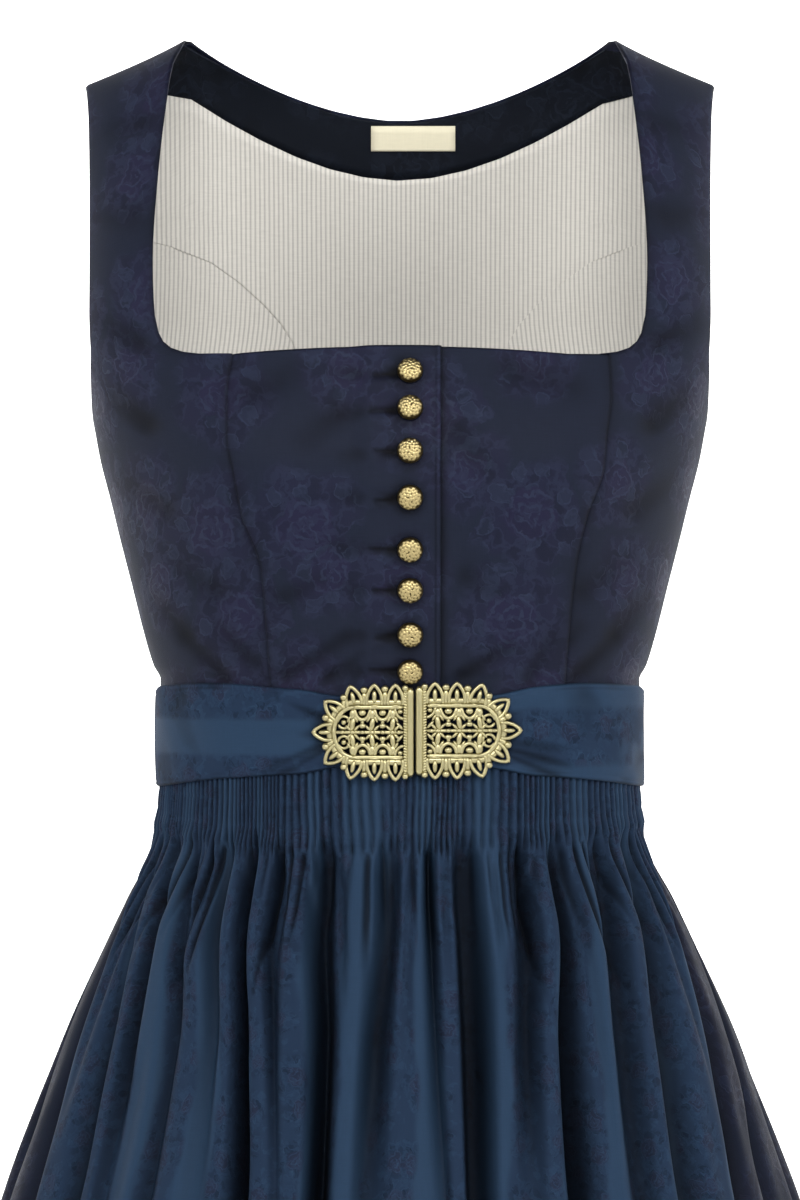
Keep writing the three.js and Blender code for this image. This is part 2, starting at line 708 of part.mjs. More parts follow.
// The angle of a fold line by drop. The apron's lines spread towards the sides at the waist, and all lines run
// nearly straight below the table.
function foldAngle({ high, middle, low, spread = 0 }, drop) {
  const lean = spread * (high / FAN.reach) ** 2;
  const fan = [
    { drop: 0, angle: high * (1 + FAN.atWaist * lean) },
    { drop: 60, angle: high * (1 + FAN.atSmocking * lean) },
    { drop: 92, angle: high },
    { drop: 165, angle: middle },
    { drop: 259, angle: low },
    { drop: SKIRT_LENGTH, angle: low + (low - middle) * FAN.straighten },
  ];
  return curve(fan, "angle")(drop);
}

function foldDepth({ depths: [high, middle, low] }, drop) {
  const growth = [
    { drop: SMOCKING.centreBottom, depth: 0 },
    { drop: 78, depth: high * GROWTH.start },
    { drop: 92, depth: high },
    { drop: 165, depth: middle },
    { drop: 259, depth: low },
    { drop: SKIRT_LENGTH, depth: low * GROWTH.flare + GROWTH.extra },
  ];
  return curve(growth, "depth")(drop);
}

// The skirt's outer form at an angle in degrees, moved out by a lift
function skirtPoint(degrees, drop, lift) {
  const angle = radians(degrees);
  const turn = 0.01;
  const at = (a) => section(skirt.half(drop), skirt.front(drop), skirt.back(drop), skirt.exponent(drop), a);
  const along = at(angle + turn).sub(at(angle - turn)).normalize();
  const flat = at(angle);
  return new THREE.Vector3(
    flat.x + along.y * lift,
    flat.y - along.x * lift,
    -WAIST_SEAM - drop
  );
}

// Points along one row of folds. Each fold has a valley, a ridge and, on an outer skin, a shoulder on both sides.
// A row's drop may change on its way across, which runs from 0 to 1.
function foldRow(folds, dropAt, lift, withShoulders) {
  const last = folds.length - 1;
  const row = [];
  const push = (share, from, to, fall) => {
    const drop = dropAt(share / last);
    const start = foldAngle(from, drop);
    const degrees = lerp(start, foldAngle(to, drop), share % 1);
    const crown = RIDGE_HEIGHT * smooth(SMOCKING.centreBottom, 92, drop);
    row.push({ point: skirtPoint(degrees, drop, lift + crown - fall(drop)), across: share });
  };
  for (let i = 0; i < last; i += 1) {
    const [fold, next] = [folds[i], folds[i + 1]];
    const nearFall = (drop) => foldDepth(fold, drop) * FOLD_SHOULDER.fall;
    const farFall = (drop) => foldDepth(next, drop) * FOLD_SHOULDER.fall;
    push(i, fold, next, (drop) => foldDepth(fold, drop));
    if (withShoulders(i)) push(i + FOLD_SHOULDER.share, fold, next, nearFall);
    push(i + 0.5, fold, next, () => 0);
    if (withShoulders(i)) push(i + 1 - FOLD_SHOULDER.share, fold, next, farFall);
  }
  push(last, folds[last], folds[last], (drop) => foldDepth(folds[last], drop));
  return row;
}

// A row of fine gathers between the first and the last fold: sharp little ridges on the outer skin
function gatherRow(folds, dropAt, lift, gathers, height) {
  const last = folds.length - 1;
  return Array.from({ length: 2 * gathers + 1 }, (_, i) => {
    const t = i / (2 * gathers);
    const drop = dropAt(t);
    const angles = folds.map((fold) => foldAngle(fold, drop));
    const degrees = lerp(angles[0], angles[last], t);
    const before = Math.min(last - 1, Math.max(0, angles.findIndex((angle) => angle > degrees) - 1));
    const share = (degrees - angles[before]) / (angles[before + 1] - angles[before]);
    const across = i === 2 * gathers ? last : before + share;
    return { point: skirtPoint(degrees, drop, lift + (i % 2 ? height : 0)), across };
  });
}

const everyFold = () => true;
const noFold = () => false;

function apron() {
  const outerLift = APRON_LIFT + APRON_WALL;
  const bottom = (t) => lerp(SMOCKING.sideBottom, SMOCKING.centreBottom, Math.sin(Math.PI * t));
  const bands = [() => SEAM_GAP, () => SMOCKING.from, () => SMOCKING.middle, bottom];
  const folded = APRON_FOLD_ROWS.map((drop) => () => drop);
  const smocked = (dropAt) =>
    gatherRow(APRON_FOLDS, dropAt, outerLift - SMOCKING.sink, SMOCKING.gathers, SMOCKING.height);
  const outer = [
    foldRow(APRON_FOLDS, bands[0], outerLift, noFold),
    ...bands.slice(1).map(smocked),
    ...folded.map((dropAt) => foldRow(APRON_FOLDS, dropAt, outerLift, everyFold)),
  ];
  const inner = [...bands, ...folded].map((dropAt) => foldRow(APRON_FOLDS, dropAt, APRON_LIFT, noFold));
  return wall(outer, inner);
}

// Under the apron the skirt keeps the same folds, set a little further in
function skirtLift(drop) {
  return -UNDER_APRON * smooth(SKIRT_ROWS[1], SKIRT_ROWS[4], drop);
}

function skirtFront() {
  const folds = [...SIDE_FOLDS_RIGHT, ...APRON_FOLDS, ...SIDE_FOLDS_LEFT];
  const trimmed = folds.map((fold, i) => {
    const shift = i === 0 ? SIDE_SEAM_INSET : i === folds.length - 1 ? -SIDE_SEAM_INSET : 0;
    return { ...fold, high: fold.high + shift, middle: fold.middle + shift, low: fold.low + shift };
  });
  const open = (i) => i < SIDE_FOLDS_RIGHT.length || i >= folds.length - 1 - SIDE_FOLDS_LEFT.length;
  return wall(
    SKIRT_ROWS.map((drop) => foldRow(trimmed, () => drop, skirtLift(drop), open)),
    SKIRT_ROWS.map((drop) => foldRow(trimmed, () => drop, skirtLift(drop) - SKIRT_WALL, noFold))
  );
}

// Uneven folds round the back, from one side seam to the other
function backFolds() {
  const { count, drift, beat, depths, swing } = BACK_FOLDS;
  const run = 360 - 2 * SIDE_SEAM_ANGLE;
  return Array.from({ length: count + 1 }, (_, i) => {
    const at = SIDE_SEAM_ANGLE + (run * i) / count;
    if (i === 0 || i === count) {
      const angle = at + (i === 0 ? SIDE_SEAM_INSET : -SIDE_SEAM_INSET);
      return { high: angle, middle: angle, low: angle, depths: SIDE_FOLDS_RIGHT[0].depths };
    }
    const wander = drift * Math.sin(beat * i);
    const change = swing * Math.sin(1.7 * i + 1);
    return {
      high: at + wander,
      middle: at + wander * 0.5,
      low: at - wander * 0.6,
      depths: depths.map((value) => value + change),
    };
  });
}

function skirtBack() {
  const folds = backFolds();
  const { count, height, rows } = BACK_GATHERS;
  const gathered = SKIRT_ROWS.slice(0, rows).map((drop) =>
    gatherRow(folds, () => drop, -height, count, height * 2)
  );
  const free = SKIRT_ROWS.slice(rows).map((drop) => foldRow(folds, () => drop, skirtLift(drop), everyFold));
  const inner = SKIRT_ROWS.map((drop) => foldRow(folds, () => drop, skirtLift(drop) - SKIRT_WALL, noFold));
  return wall([...gathered, ...free], inner);
}

function addMesh(group, name, geometry, material) {
  const mesh = new THREE.Mesh(geometry, material);
  mesh.name = name;
  group.add(mesh);
  return mesh;
}

const dirndl = new THREE.Group();
dirndl.name = "dirndl";

addMesh(dirndl, "front_right", frontRight(), navyCloth());
addMesh(dirndl, "front_left", frontLeft(), navyCloth());
addMesh(dirndl, "side_front_right", sideFront(-1), navyCloth());
addMesh(dirndl, "side_front_left", sideFront(1), navyCloth());
addMesh(dirndl, "back_centre", backCentre(), navyCloth());
addMesh(dirndl, "back_side_right", backSide(-1, 4, 0, BODICE_WALL), navyCloth());
addMesh(dirndl, "back_side_left", backSide(1, 4, 0, BODICE_WALL), navyCloth());
addMesh(dirndl, "lining_centre", liningCentre(), liningCloth());
addMesh(dirndl, "lining_side_right", backSide(-1, 4, INNER_LIFT, LINING_WALL), liningCloth());
addMesh(dirndl, "lining_side_left", backSide(1, 4, INNER_LIFT, LINING_WALL), liningCloth());
addMesh(dirndl, "neck_facing", neckFacing(), facingCloth());
addMesh(dirndl, "label", label(), labelCloth());
BUTTON.drops.forEach((drop, i) => addButton(dirndl, i + 1, drop));
addMesh(dirndl, "skirt_front", skirtFront(), navyCloth());
addMesh(dirndl, "skirt_back", skirtBack(), navyCloth());
addMesh(dirndl, "apron", apron(), blueCloth());
addMesh(dirndl, "belt", belt(), blueCloth());
addMesh(dirndl, "clasp_right", claspHalf(-1), giltMetal());
addMesh(dirndl, "clasp_left", claspHalf(1), giltMetal());

export default dirndl;
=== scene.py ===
import math

import bpy
import numpy as np
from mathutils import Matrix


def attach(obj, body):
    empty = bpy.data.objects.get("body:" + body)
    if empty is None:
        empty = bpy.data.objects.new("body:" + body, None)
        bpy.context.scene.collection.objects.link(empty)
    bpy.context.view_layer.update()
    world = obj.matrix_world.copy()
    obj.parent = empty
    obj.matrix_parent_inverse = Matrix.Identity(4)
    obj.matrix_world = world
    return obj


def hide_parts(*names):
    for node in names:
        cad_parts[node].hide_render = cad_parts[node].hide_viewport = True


bl_info = {
    "name": "Dirndl",
    "version": (1, 0, 0),
    "blender": (4, 5, 0),
    "location": "View3D > Sidebar > Dirndl",
    "description": "Cloth, buttons and clasp of a dirndl, built round its packed solids",
    "category": "Object",
}

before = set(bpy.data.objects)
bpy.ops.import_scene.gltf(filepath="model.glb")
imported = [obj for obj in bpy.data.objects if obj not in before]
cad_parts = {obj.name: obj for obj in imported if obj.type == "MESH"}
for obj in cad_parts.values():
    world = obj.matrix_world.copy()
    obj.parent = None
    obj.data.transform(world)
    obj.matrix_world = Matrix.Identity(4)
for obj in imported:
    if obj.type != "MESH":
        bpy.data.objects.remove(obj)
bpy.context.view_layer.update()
MM = 0.001
TURN = 6.283  # a full turn, for the nodes


def table(names, *rows):
    """Columns of numbers by name, from rows."""
    return dict(zip(names.split(), np.array(rows, float).T))


# Sizes shared with the solids, in millimetres. Drops run down from the shoulder line or from the waist seam.
BODICE_WALL, LINING_WALL, SKIRT_WALL, APRON_WALL, BELT_WALL = 1.6, 1.0, 1.8, 1.6, 2.0
SEAM_GAP, LAYER_GAP, EASE = 0.3, 0.3, 0.15
WAIST_SEAM, NECKLINE, NECKLINE_RISE, UNDERARM = 377, 167, 4, 206
SKIRT_LENGTH, APRON_LENGTH = 700, 660
HEM = dict(stitch=28, width=1.1)
SHOULDER = dict(neck_x=119, tip_x=176, tip_fall=27, fade_from=40, fade_to=150, height=14, split=0.25)
LAP = dict(fold_x=-28, full_x=-14, right_x=22, left_x=-9, stitch_x=19.2)
LAP_LIFT = BODICE_WALL + LAYER_GAP + EASE
CUP = dict(x=88, drop=226, width=42, height=48, depth=12)
BACK_NECK = dict(depth=42, power=1.75)
FACING = dict(depth=72, rise=42, power=1.85, least=12)
YOKE = dict(start=91, facing=50, facing_top=1.5)
LABEL = dict(x=7.5, width=48, drop=44, height=13)
WAIST = dict(half=134, front=101, back=94, exponent=2.2)
BELT = dict(lift=0.9, right_x=-30, left_x=27)
BELT_WAVE = dict(drop=4, turn=370)
BELT_GATHER = dict(depth=3.5, run=(38, 66))
CLASP = dict(lift=3.5, centre_x=8, drop=372)
BUTTON = dict(radius=7, x=5.5, drops=(178, 198, 221, 245, 273, 295, 319, 339))
SIDE_SEAM_ANGLE = 97
SMOCKING = dict(gathers=93, side_bottom=51, centre_bottom=63, fold_angle=3.5)
APRON_LIFT, UNDER_APRON, RIDGE_HEIGHT = 0.6, 1.9, 2

# Painted shadow on the cloth: beneath the clasp, round a button, in the pulls beside it and along the lap
CLASP_SHADE = dict(half_width=55, half_height=26, dark=0.7)
BUTTON_SHADE = dict(x=-1.4, drop=1, reach=9, dark=0.6)
BUTTON_PULL_SHADOWS = ((0.0, 0.8), (0.34, 0.5), (-0.3, 0.35))
LAP_SHADE = dict(reach=3, dark=0.5)
SMALL_FOLDS = dict(depth=1.4, more=2.8, sharp=2.2)

BODY = table(
    "drop half exponent",
    (0, 180, 3.0), (140, 180, 3.0), (170, 177, 2.8), (190, 173.5, 2.7), (206, 170.5, 2.6), (223, 167.4, 2.45),
    (245, 161.8, 2.4), (268, 156.2, 2.35), (290, 150.6, 2.3), (324, 142, 2.25), (338, 137.6, 2.2),
    (345, 134, 2.2), (405, 134, 2.2),
)
DEPTH = table(
    "drop front back",
    (0, 0.1, 0.1), (1, 10, 10), (4, 22, 22), (10, 36, 35), (20, 48, 46), (35, 59, 56), (55, 70, 64),
    (80, 82, 74), (110, 94, 84), (161, 110, 97), (206, 124, 103), (228, 128, 102), (279, 118, 96.5),
    (325, 106.5, 94.6), (338, 103, 94.6), (345, 101.2, 94), (351, 101, 94), (405, 101, 94),
)
PRINCESS = table(
    "drop right left",
    (167, 91, 114), (190, 94, 115), (212, 94, 112.5), (230, 91, 111), (256, 86, 102), (284, 76, 96),
    (321, 73, 92.5), (377, 69, 89),
)
NECK_SIDE = table(
    "drop x",
    (0, 120), (12, 126.5), (33, 129.5), (70, 133.5), (113, 136), (141, 135), (156, 132), (162, 127.5),
    (165.5, 119), (167, 108),
)
ARMHOLE = table(
    "drop angle",
    (0, 75.2), (20, 72), (50, 70.4), (80, 69.7), (140, 69.1), (161, 71), (180, 75.7), (195, 82),
    (203, 87.5), (206, 90),
)
BACK_SEAM = table(
    "drop x",
    (86, 168), (99, 138), (114, 104), (127, 85), (141, 70), (151, 63), (175, 56), (210, 51), (300, 46),
    (377, 44),
)
BELT_EDGES = table(
    "angle top bottom",
    (0, 350, 394.5), (22, 349.5, 396), (45, 346.5, 399), (75, 348.5, 404), (90, 351, 405), (180, 350, 405),
)
SKIRT = table(
    "drop half front back exponent",
    (0, 131, 98, 91, 2.2), (28, 131.6, 98.6, 93, 2.2), (46, 133.6, 101, 97, 2.15), (60, 138.4, 106, 104, 2.1),
    (76, 145.6, 113, 112, 2.05), (92, 153.5, 121, 121, 2), (126, 169.5, 137, 139, 2),
    (159, 184.5, 152, 155, 2), (193, 198, 167, 170, 2), (227, 211.3, 181, 184, 2), (259, 223, 193, 197, 2),
    (400, 266, 238, 244, 2), (550, 304, 275, 282, 2), (700, 337, 305, 313, 2),
)

# Fold valleys: angle from the front and depth near the yoke, halfway and at the photograph's edge
FOLD_COLUMNS = "high middle low shallow mean deep"
SIDE_FOLDS_RIGHT = table(FOLD_COLUMNS, (-97, -97, -97, 3, 6, 9), (-91.5, -88, -84, 3, 6, 11))
APRON_FOLDS = table(
    FOLD_COLUMNS,
    (-77, -72, -66, 7, 9, 11), (-66, -57, -53, 4, 12, 14), (-58.5, -52, -48, 8, 8, 4),
    (-50, -41, -38.5, 6, 7, 6), (-40, -32.5, -30, 7, 5, 2), (-33, -27, -23, 11, 14, 17),
    (-27, -21.5, -17.5, 7, 5, 2), (-16, -13, -12, 13, 17, 20), (-2, -4, -5, 9, 10, 6),
    (6, 6, 6.5, 8, 6, 4), (13, 12, 10.5, 12, 15, 13), (27, 22, 19, 10, 9, 3), (35.5, 29, 26, 12, 16, 18),
    (48, 41.5, 37, 9, 9, 8), (60, 50, 45, 9, 11, 10), (75, 67, 57.5, 6, 9, 10),
)
SIDE_FOLDS_LEFT = table(FOLD_COLUMNS, (88, 79, 66.5, 2, 5, 7), (93, 90, 82, 2, 6, 11), (97, 97, 97, 3, 6, 9))
BACK_FOLDS = dict(count=14, drift=2.4, beat=2.3, depths=(9, 13, 16), swing=4)

# Small creases between the main folds: angle at their top, middle and foot, drops, depth and half-width
SKIRT_CREASES = table(
    "high middle low start end depth width",
    (-47, -45, -42, 150, 420, 4.5, 2.2), (-46, -45, -44, 60, 120, 4, 1.2), (-26, -24, -21, 60, 165, 5, 1.3),
    (-13, -11, -9.5, 60, 160, 5, 1.1), (20.5, 20, 18.5, 60, 130, 4, 1.2), (41, 36, 32, 60, 240, 3.5, 1.4),
    (-71, -66, -62, 60, 230, 4, 1.6), (68, 62, 55, 62, 250, 4, 1.8), (2.5, 1, 1, 60, 190, 3.5, 1.2),
    (-37, -34, -33, 60, 130, 3.5, 1), (54, 48, 44, 62, 150, 3.5, 1.2), (31.5, 27, 24, 60, 120, 3, 0.9),
    (-54, -47, -44, 60, 140, 3.5, 1.1), (9.5, 9, 8.5, 60, 140, 3, 0.9), (-21, -18, -17, 60, 130, 3, 0.9),
    (112, 109, 106, 70, 330, 5, 1.8), (131, 133, 134, 70, 260, 5, 1.5), (151, 149, 148, 80, 420, 4, 1.8),
    (176, 178, 179, 70, 240, 5, 1.6), (196, 198, 201, 80, 380, 5, 1.9), (223, 221, 219, 70, 280, 4, 1.5),
    (243, 246, 248, 70, 330, 5, 1.8), (51, 49, 48, 320, 640, 5, 2),
)

# Creases of the bodice: from one point to another as distance from the middle and drop, half-width and depth.
# A negative depth is a soft ridge.
BUTTONHOLE_CREASES = [
    row
    for i, drop in enumerate(BUTTON["drops"])
    for row in (
        (1, drop + 0.8, -14 - 2 * math.sin(1.9 * i), drop + 1 + 1.6 * math.sin(2.3 * i + 0.8), 1.5, 2.2),
        (-5, drop - 4.6, -19 - 3 * math.sin(1.3 * i), drop - 6 + 1.5 * math.sin(i), 3.2, -0.75),
        (-4, drop + 5.2, -17 - 3 * math.cos(1.7 * i), drop + 6.4 + 1.2 * math.cos(i), 3, -0.7),
        (-22, drop + 1, -34 - 4 * math.sin(2.1 * i), drop + 3 * math.sin(1.1 * i), 4, 0.45),
    )
]
FRONT_CREASES = [
    (-62, 342, -30, 322, 4, 0.8), (-40, 343, -20, 331, 3, 0.6), (-64, 300, -44, 291, 5, 0.45),
    (-58, 322, -36, 316, 4, -0.5), (34, 342, 60, 326, 4, 0.8), (70, 343, 84, 320, 4, 0.6),
    (40, 318, 66, 309, 5, -0.5), (30, 210, 46, 230, 7, 0.4), (-80, 190, -58, 178, 7, 0.4),
    (60, 176, 96, 186, 7, 0.4), (36, 288, 52, 296, 6, 0.4), (-34, 200, -50, 214, 7, 0.4),
]
SIDE_CREASES = [
    (96, 343, 118, 322, 4, 0.9), (80, 335, 98, 316, 4, 0.7), (118, 320, 134, 300, 5, 0.7),
    (128, 252, 150, 236, 6, 0.6), (138, 205, 156, 190, 6, 0.9), (134, 222, 158, 210, 6, -0.5),
    (142, 160, 160, 150, 6, 0.6), (146, 90, 164, 84, 7, 0.4), (140, 40, 160, 34, 6, 0.4),
    (100, 296, 122, 280, 6, 0.5),
]
BACK_CREASES = [
    (-40, 343, -14, 330, 4, 0.8), (14, 344, 38, 328, 4, 0.8), (-30, 322, 28, 318, 5, 0.7),
    (-36, 300, 20, 306, 6, -0.6), (-90, 104, -40, 96, 8, 0.5), (44, 100, 92, 92, 8, 0.5),
    (-12, 150, -8, 240, 7, 0.4), (16, 180, 12, 270, 7, 0.4), (-150, 50, -130, 40, 6, 0.5),
    (134, 46, 152, 36, 6, 0.5),
]
BELT_CREASES = [
    (54, 381, 92, 392, 1.8, 1.2), (54, 384, 84, 397, 1.6, 1.1), (56, 378, 96, 383, 2.2, 0.7),
    (55, 365, 80, 357, 2, 0.8), (-43, 381, -70, 392, 2, 1.1), (-43, 384, -62, 395, 1.6, 0.9),
    (-43, 364, -66, 355, 2.2, 0.9), (-44, 374, -70, 375, 2.6, 0.5), (-66, 353, -72, 372, 2.4, 0.7),
    (-96, 398, -112, 380, 5, 0.5), (100, 352, 116, 368, 5, 0.5), (-118, 352, -126, 366, 4, 0.6),
    (122, 402, 130, 386, 4, 0.6),
]

# The clasp: where petals stand on the rim, and the beads that stand between them
PETALS = table("out up lean", (11, 14.5, 0), (23, 14.5, 0), (34, 14, 14), (42.3, 9.4, 50), (46.5, 0, 90))
PETAL = dict(half=4.1, reach=11.4, wire=1.15)
EDGE_BEADS = table(
    "out up size", (5.4, 24, 1.9), (17, 23.6, 2.1), (28.8, 23, 2.1), (40.4, 18.8, 2.1), (50.8, 7.9, 2.1)
)
# Each column's star of beads: place, radii, turn and how finely the bead is cut
STAR_BEADS = (
    (0, 4.4, 1.5, (1.6, 4.1, 1.4), 0.16, 12, 8), (0, 9.7, 1.3, (1.9, 3.0, 1.2), 0, 12, 7),
    (-2.3, 2.3, 1.4, (0.95, 2.5, 1.1), 0.8, 10, 7), (-2.0, 7.2, 1.4, (0.9, 2.3, 1.1), -0.55, 10, 7),
    (2.3, 2.3, 1.4, (0.95, 2.5, 1.1), -0.8, 10, 7), (2.0, 7.2, 1.4, (0.9, 2.3, 1.1), 0.55, 10, 7),
)
HANGING_ARCS = (18.3, 29.8)
COLUMNS = (12.6, 24.2, 35.4)
RIM = dict(straight_from=6.4, straight_to=34.5, half=13.6, end=46)


def curve(rows, column, value, key="drop"):
    """A column as a smooth function of its key that never overshoots."""
    xs, ys = rows[key], rows[column]
    run = np.diff(xs)
    steps = np.diff(ys) / run
    before, after = np.r_[steps[0], steps], np.r_[steps, steps[-1]]
    same_way = before * after > 0
    slopes = np.where(same_way, 2 * before * after / np.where(same_way, before + after, 1), 0)
    at = np.clip(value, xs[0], xs[-1])
    i = np.clip(np.searchsorted(xs, at, side="right") - 1, 0, len(run) - 1)
    t = (at - xs[i]) / run[i]
    start = (1 + 2 * t) * (1 - t) ** 2 * ys[i] + t * (1 - t) ** 2 * run[i] * slopes[i]
    return start + t**2 * (3 - 2 * t) * ys[i + 1] + t**2 * (t - 1) * run[i] * slopes[i + 1]


def smooth(low, high, value):
    t = np.clip((value - low) / (high - low), 0, 1)
    return t * t * (3 - 2 * t)


def lerp(a, b, t):
    return a + (b - a) * t


def bell(value, width):
    """1 at 0, falling off softly to both sides."""
    return np.exp(-((value / width) ** 2))


def rolled(away, depth, reach):
    """The dip of an edge that is rolled round."""
    return -depth * np.maximum(0, 1 - away / reach) ** 2


def section(half, front, back, exponent, angle):
    """A point of a rounded, slightly square section. Angles run from the front to the wearer's left."""
    sine, cosine = np.sin(angle), np.cos(angle)
    x = half * np.sign(sine) * np.abs(sine) ** (2 / exponent)
    return x, np.where(cosine >= 0, -front, back) * np.abs(cosine) ** (2 / exponent)


def angle_at_x(x, half, exponent):
    return np.sign(x) * np.arcsin(np.minimum(1, (np.abs(x) / half) ** (exponent / 2)))


def bodice_point(angle, drop):
    """The outer surface of the bodice, without seams."""
    front, back = curve(DEPTH, "front", drop), curve(DEPTH, "back", drop)
    x, y = section(curve(BODY, "half", drop), front, back, curve(BODY, "exponent", drop), angle)
    run = (np.abs(x) - SHOULDER["neck_x"]) / (SHOULDER["tip_x"] - SHOULDER["neck_x"])
    height = SHOULDER["height"] - SHOULDER["tip_fall"] * np.maximum(0, run) ** 0.85
    z = height * (1 - smooth(SHOULDER["fade_from"], SHOULDER["fade_to"], drop)) - drop
    across, along = (np.abs(x) - CUP["x"]) / CUP["width"], (drop - CUP["drop"]) / CUP["height"]
    swell = CUP["depth"] * np.exp(-(across**2) - along**2)
    return np.stack([x, np.where(np.cos(angle) > 0, y - swell, y), z], -1)


def bodice_angle(x, drop):
    return angle_at_x(x, curve(BODY, "half", drop), curve(BODY, "exponent", drop))


def back_angle(x, drop):
    return math.pi - bodice_angle(x, drop)


class BodiceSkin:
    """A stretch of the bodice's surface, which can be moved out by a lift that changes over it."""

    def __init__(self, angle, drop):
        turn, rise = 0.002, 0.4
        self.angle, self.drop = np.broadcast_arrays(angle, drop)
        self.base = bodice_point(self.angle, self.drop)
        around = bodice_point(self.angle + turn, self.drop) - bodice_point(self.angle - turn, self.drop)
        above, below = np.maximum(self.drop - rise, 0), self.drop + rise
        up = bodice_point(self.angle, above) - bodice_point(self.angle, below)
        normal = np.cross(around, up)
        normal[self.drop < 0.5] = (0, 0, 1)
        self.normal = normal / np.linalg.norm(normal, axis=-1, keepdims=True)

    def lifted(self, lift):
        point = self.base + self.normal * np.broadcast_to(lift, self.drop.shape)[..., None]
        side = np.where(np.cos(self.angle) > 0, -1, 1)
        held = side * np.maximum(side * point[..., 1], SHOULDER["split"])
        point[..., 1] = np.where(self.drop < 5, held, point[..., 1])
        return point


def lengths_across(points):
    """Distance along each row from its first point."""
    steps = np.linalg.norm(np.diff(points, axis=1), axis=-1)
    return np.concatenate([np.zeros((len(points), 1)), np.cumsum(steps, axis=1)], axis=1)


def distance_to(points, border):
    """Distance from every point to the nearest point of a border."""
    flat = points.reshape(-1, 3)
    nearest = [
        np.sqrt(((part[:, None] - border[None]) ** 2).sum(-1).min(1)) for part in np.array_split(flat, 24)
    ]
    return np.concatenate(nearest).reshape(points.shape[:2])


def openness(points, lift, reach):
    """How much sky each point of a row sees past its neighbours: 1 on flat cloth, 0 in a slit."""
    along = lengths_across(points)
    steepest = [np.zeros(lift.shape), np.zeros(lift.shape)]
    for k in range(1, reach + 1):
        slope = (lift[:, k:] - lift[:, :-k]) / np.maximum(along[:, k:] - along[:, :-k], 0.05)
        steepest[0][:, :-k] = np.maximum(steepest[0][:, :-k], slope)
        steepest[1][:, k:] = np.maximum(steepest[1][:, k:], -slope)
    return sum(1 / np.sqrt(1 + s * s) for s in steepest) / 2


def clasp_painted_shadow(points):
    """1, or less on the cloth that the clasp keeps in the dark."""
    across = (points[..., 0] - CLASP["centre_x"]) / CLASP_SHADE["half_width"]
    along = (points[..., 2] + CLASP["drop"]) / CLASP_SHADE["half_height"]
    covered = smooth(1.1, 0.75, across**2 + along**2) * (points[..., 1] < 0)
    return 1 - CLASP_SHADE["dark"] * covered


def button_shadow(points):
    """1, or less on the cloth round a button and in the pulls beside its buttonhole."""
    x, z = points[..., 0] - BUTTON["x"], points[..., 2]
    shade = np.ones(points.shape[:-1])
    for i, drop in enumerate(BUTTON["drops"]):
        away = np.hypot(x - BUTTON_SHADE["x"], z + drop + BUTTON_SHADE["drop"])
        shade = shade * (1 - BUTTON_SHADE["dark"] * np.exp(-((away / BUTTON_SHADE["reach"]) ** 4)))
        for fan, dark in BUTTON_PULL_SHADOWS:
            aside = z + drop + 0.6 + (fan + 0.08 * math.sin(2.3 * i)) * (-x - 4)
            reach = smooth(-20 + 4 * math.sin(1.7 * i), -8, x) * smooth(4, 0, x)
            shade = shade * (1 - dark * reach * bell(aside, lerp(1.1, 1.7, smooth(-18, -6, x))))
    return shade


def lap_shadow(points):
    """1, or less on the cloth beside the lapped edge."""
    away = np.maximum(points[..., 0] - LAP["right_x"], 0)
    return 1 - LAP_SHADE["dark"] * bell(away, LAP_SHADE["reach"])


def creases(rows, across, along):
    """Soft troughs, or ridges where the depth is negative, along short lines."""
    lift = np.zeros(across.shape)
    for x0, y0, x1, y1, width, depth in rows:
        run = np.array([x1 - x0, y1 - y0], float)
        t = np.clip(((across - x0) * run[0] + (along - y0) * run[1]) / (run @ run), 0, 1)
        away = np.hypot(across - x0 - t * run[0], along - y0 - t * run[1])
        lift -= depth * (1 - 0.55 * t) * bell(away, width)
    return lift


# Spacing near an edge, so that it can be rounded
EDGE_STEPS = np.array([0, 0.25, 0.7, 1.3, 2.0, 2.8, 3.8])


def spacing(count):
    """Places across a panel: a share of its width and an offset in millimetres, closer at both edges."""
    inner = np.linspace(0, 1, count)[1:-1]
    edge = EDGE_STEPS[-1] + 1
    share = np.r_[EDGE_STEPS * 0, inner, EDGE_STEPS * 0 + 1]
    return share, np.r_[EDGE_STEPS, edge * (1 - 2 * inner), -EDGE_STEPS[::-1]]


def stations(start, end, step):
    """Levels from one to the other, closer at both ends."""
    count = max(4, int(abs(end - start) / step))
    share, offset = spacing(count)
    return start + share * (end - start) + offset * np.sign(end - start)


# Seam edges dip into a groove, finished edges are rolled round
EDGE_FORMS = {
    "seam": lambda away: -0.42 * bell(away, 1) - 0.2 * bell(away, 4.5),
    "finished": lambda away: rolled(away, 0.9, 1.6),
    "hidden": lambda away: 0 * away,
}


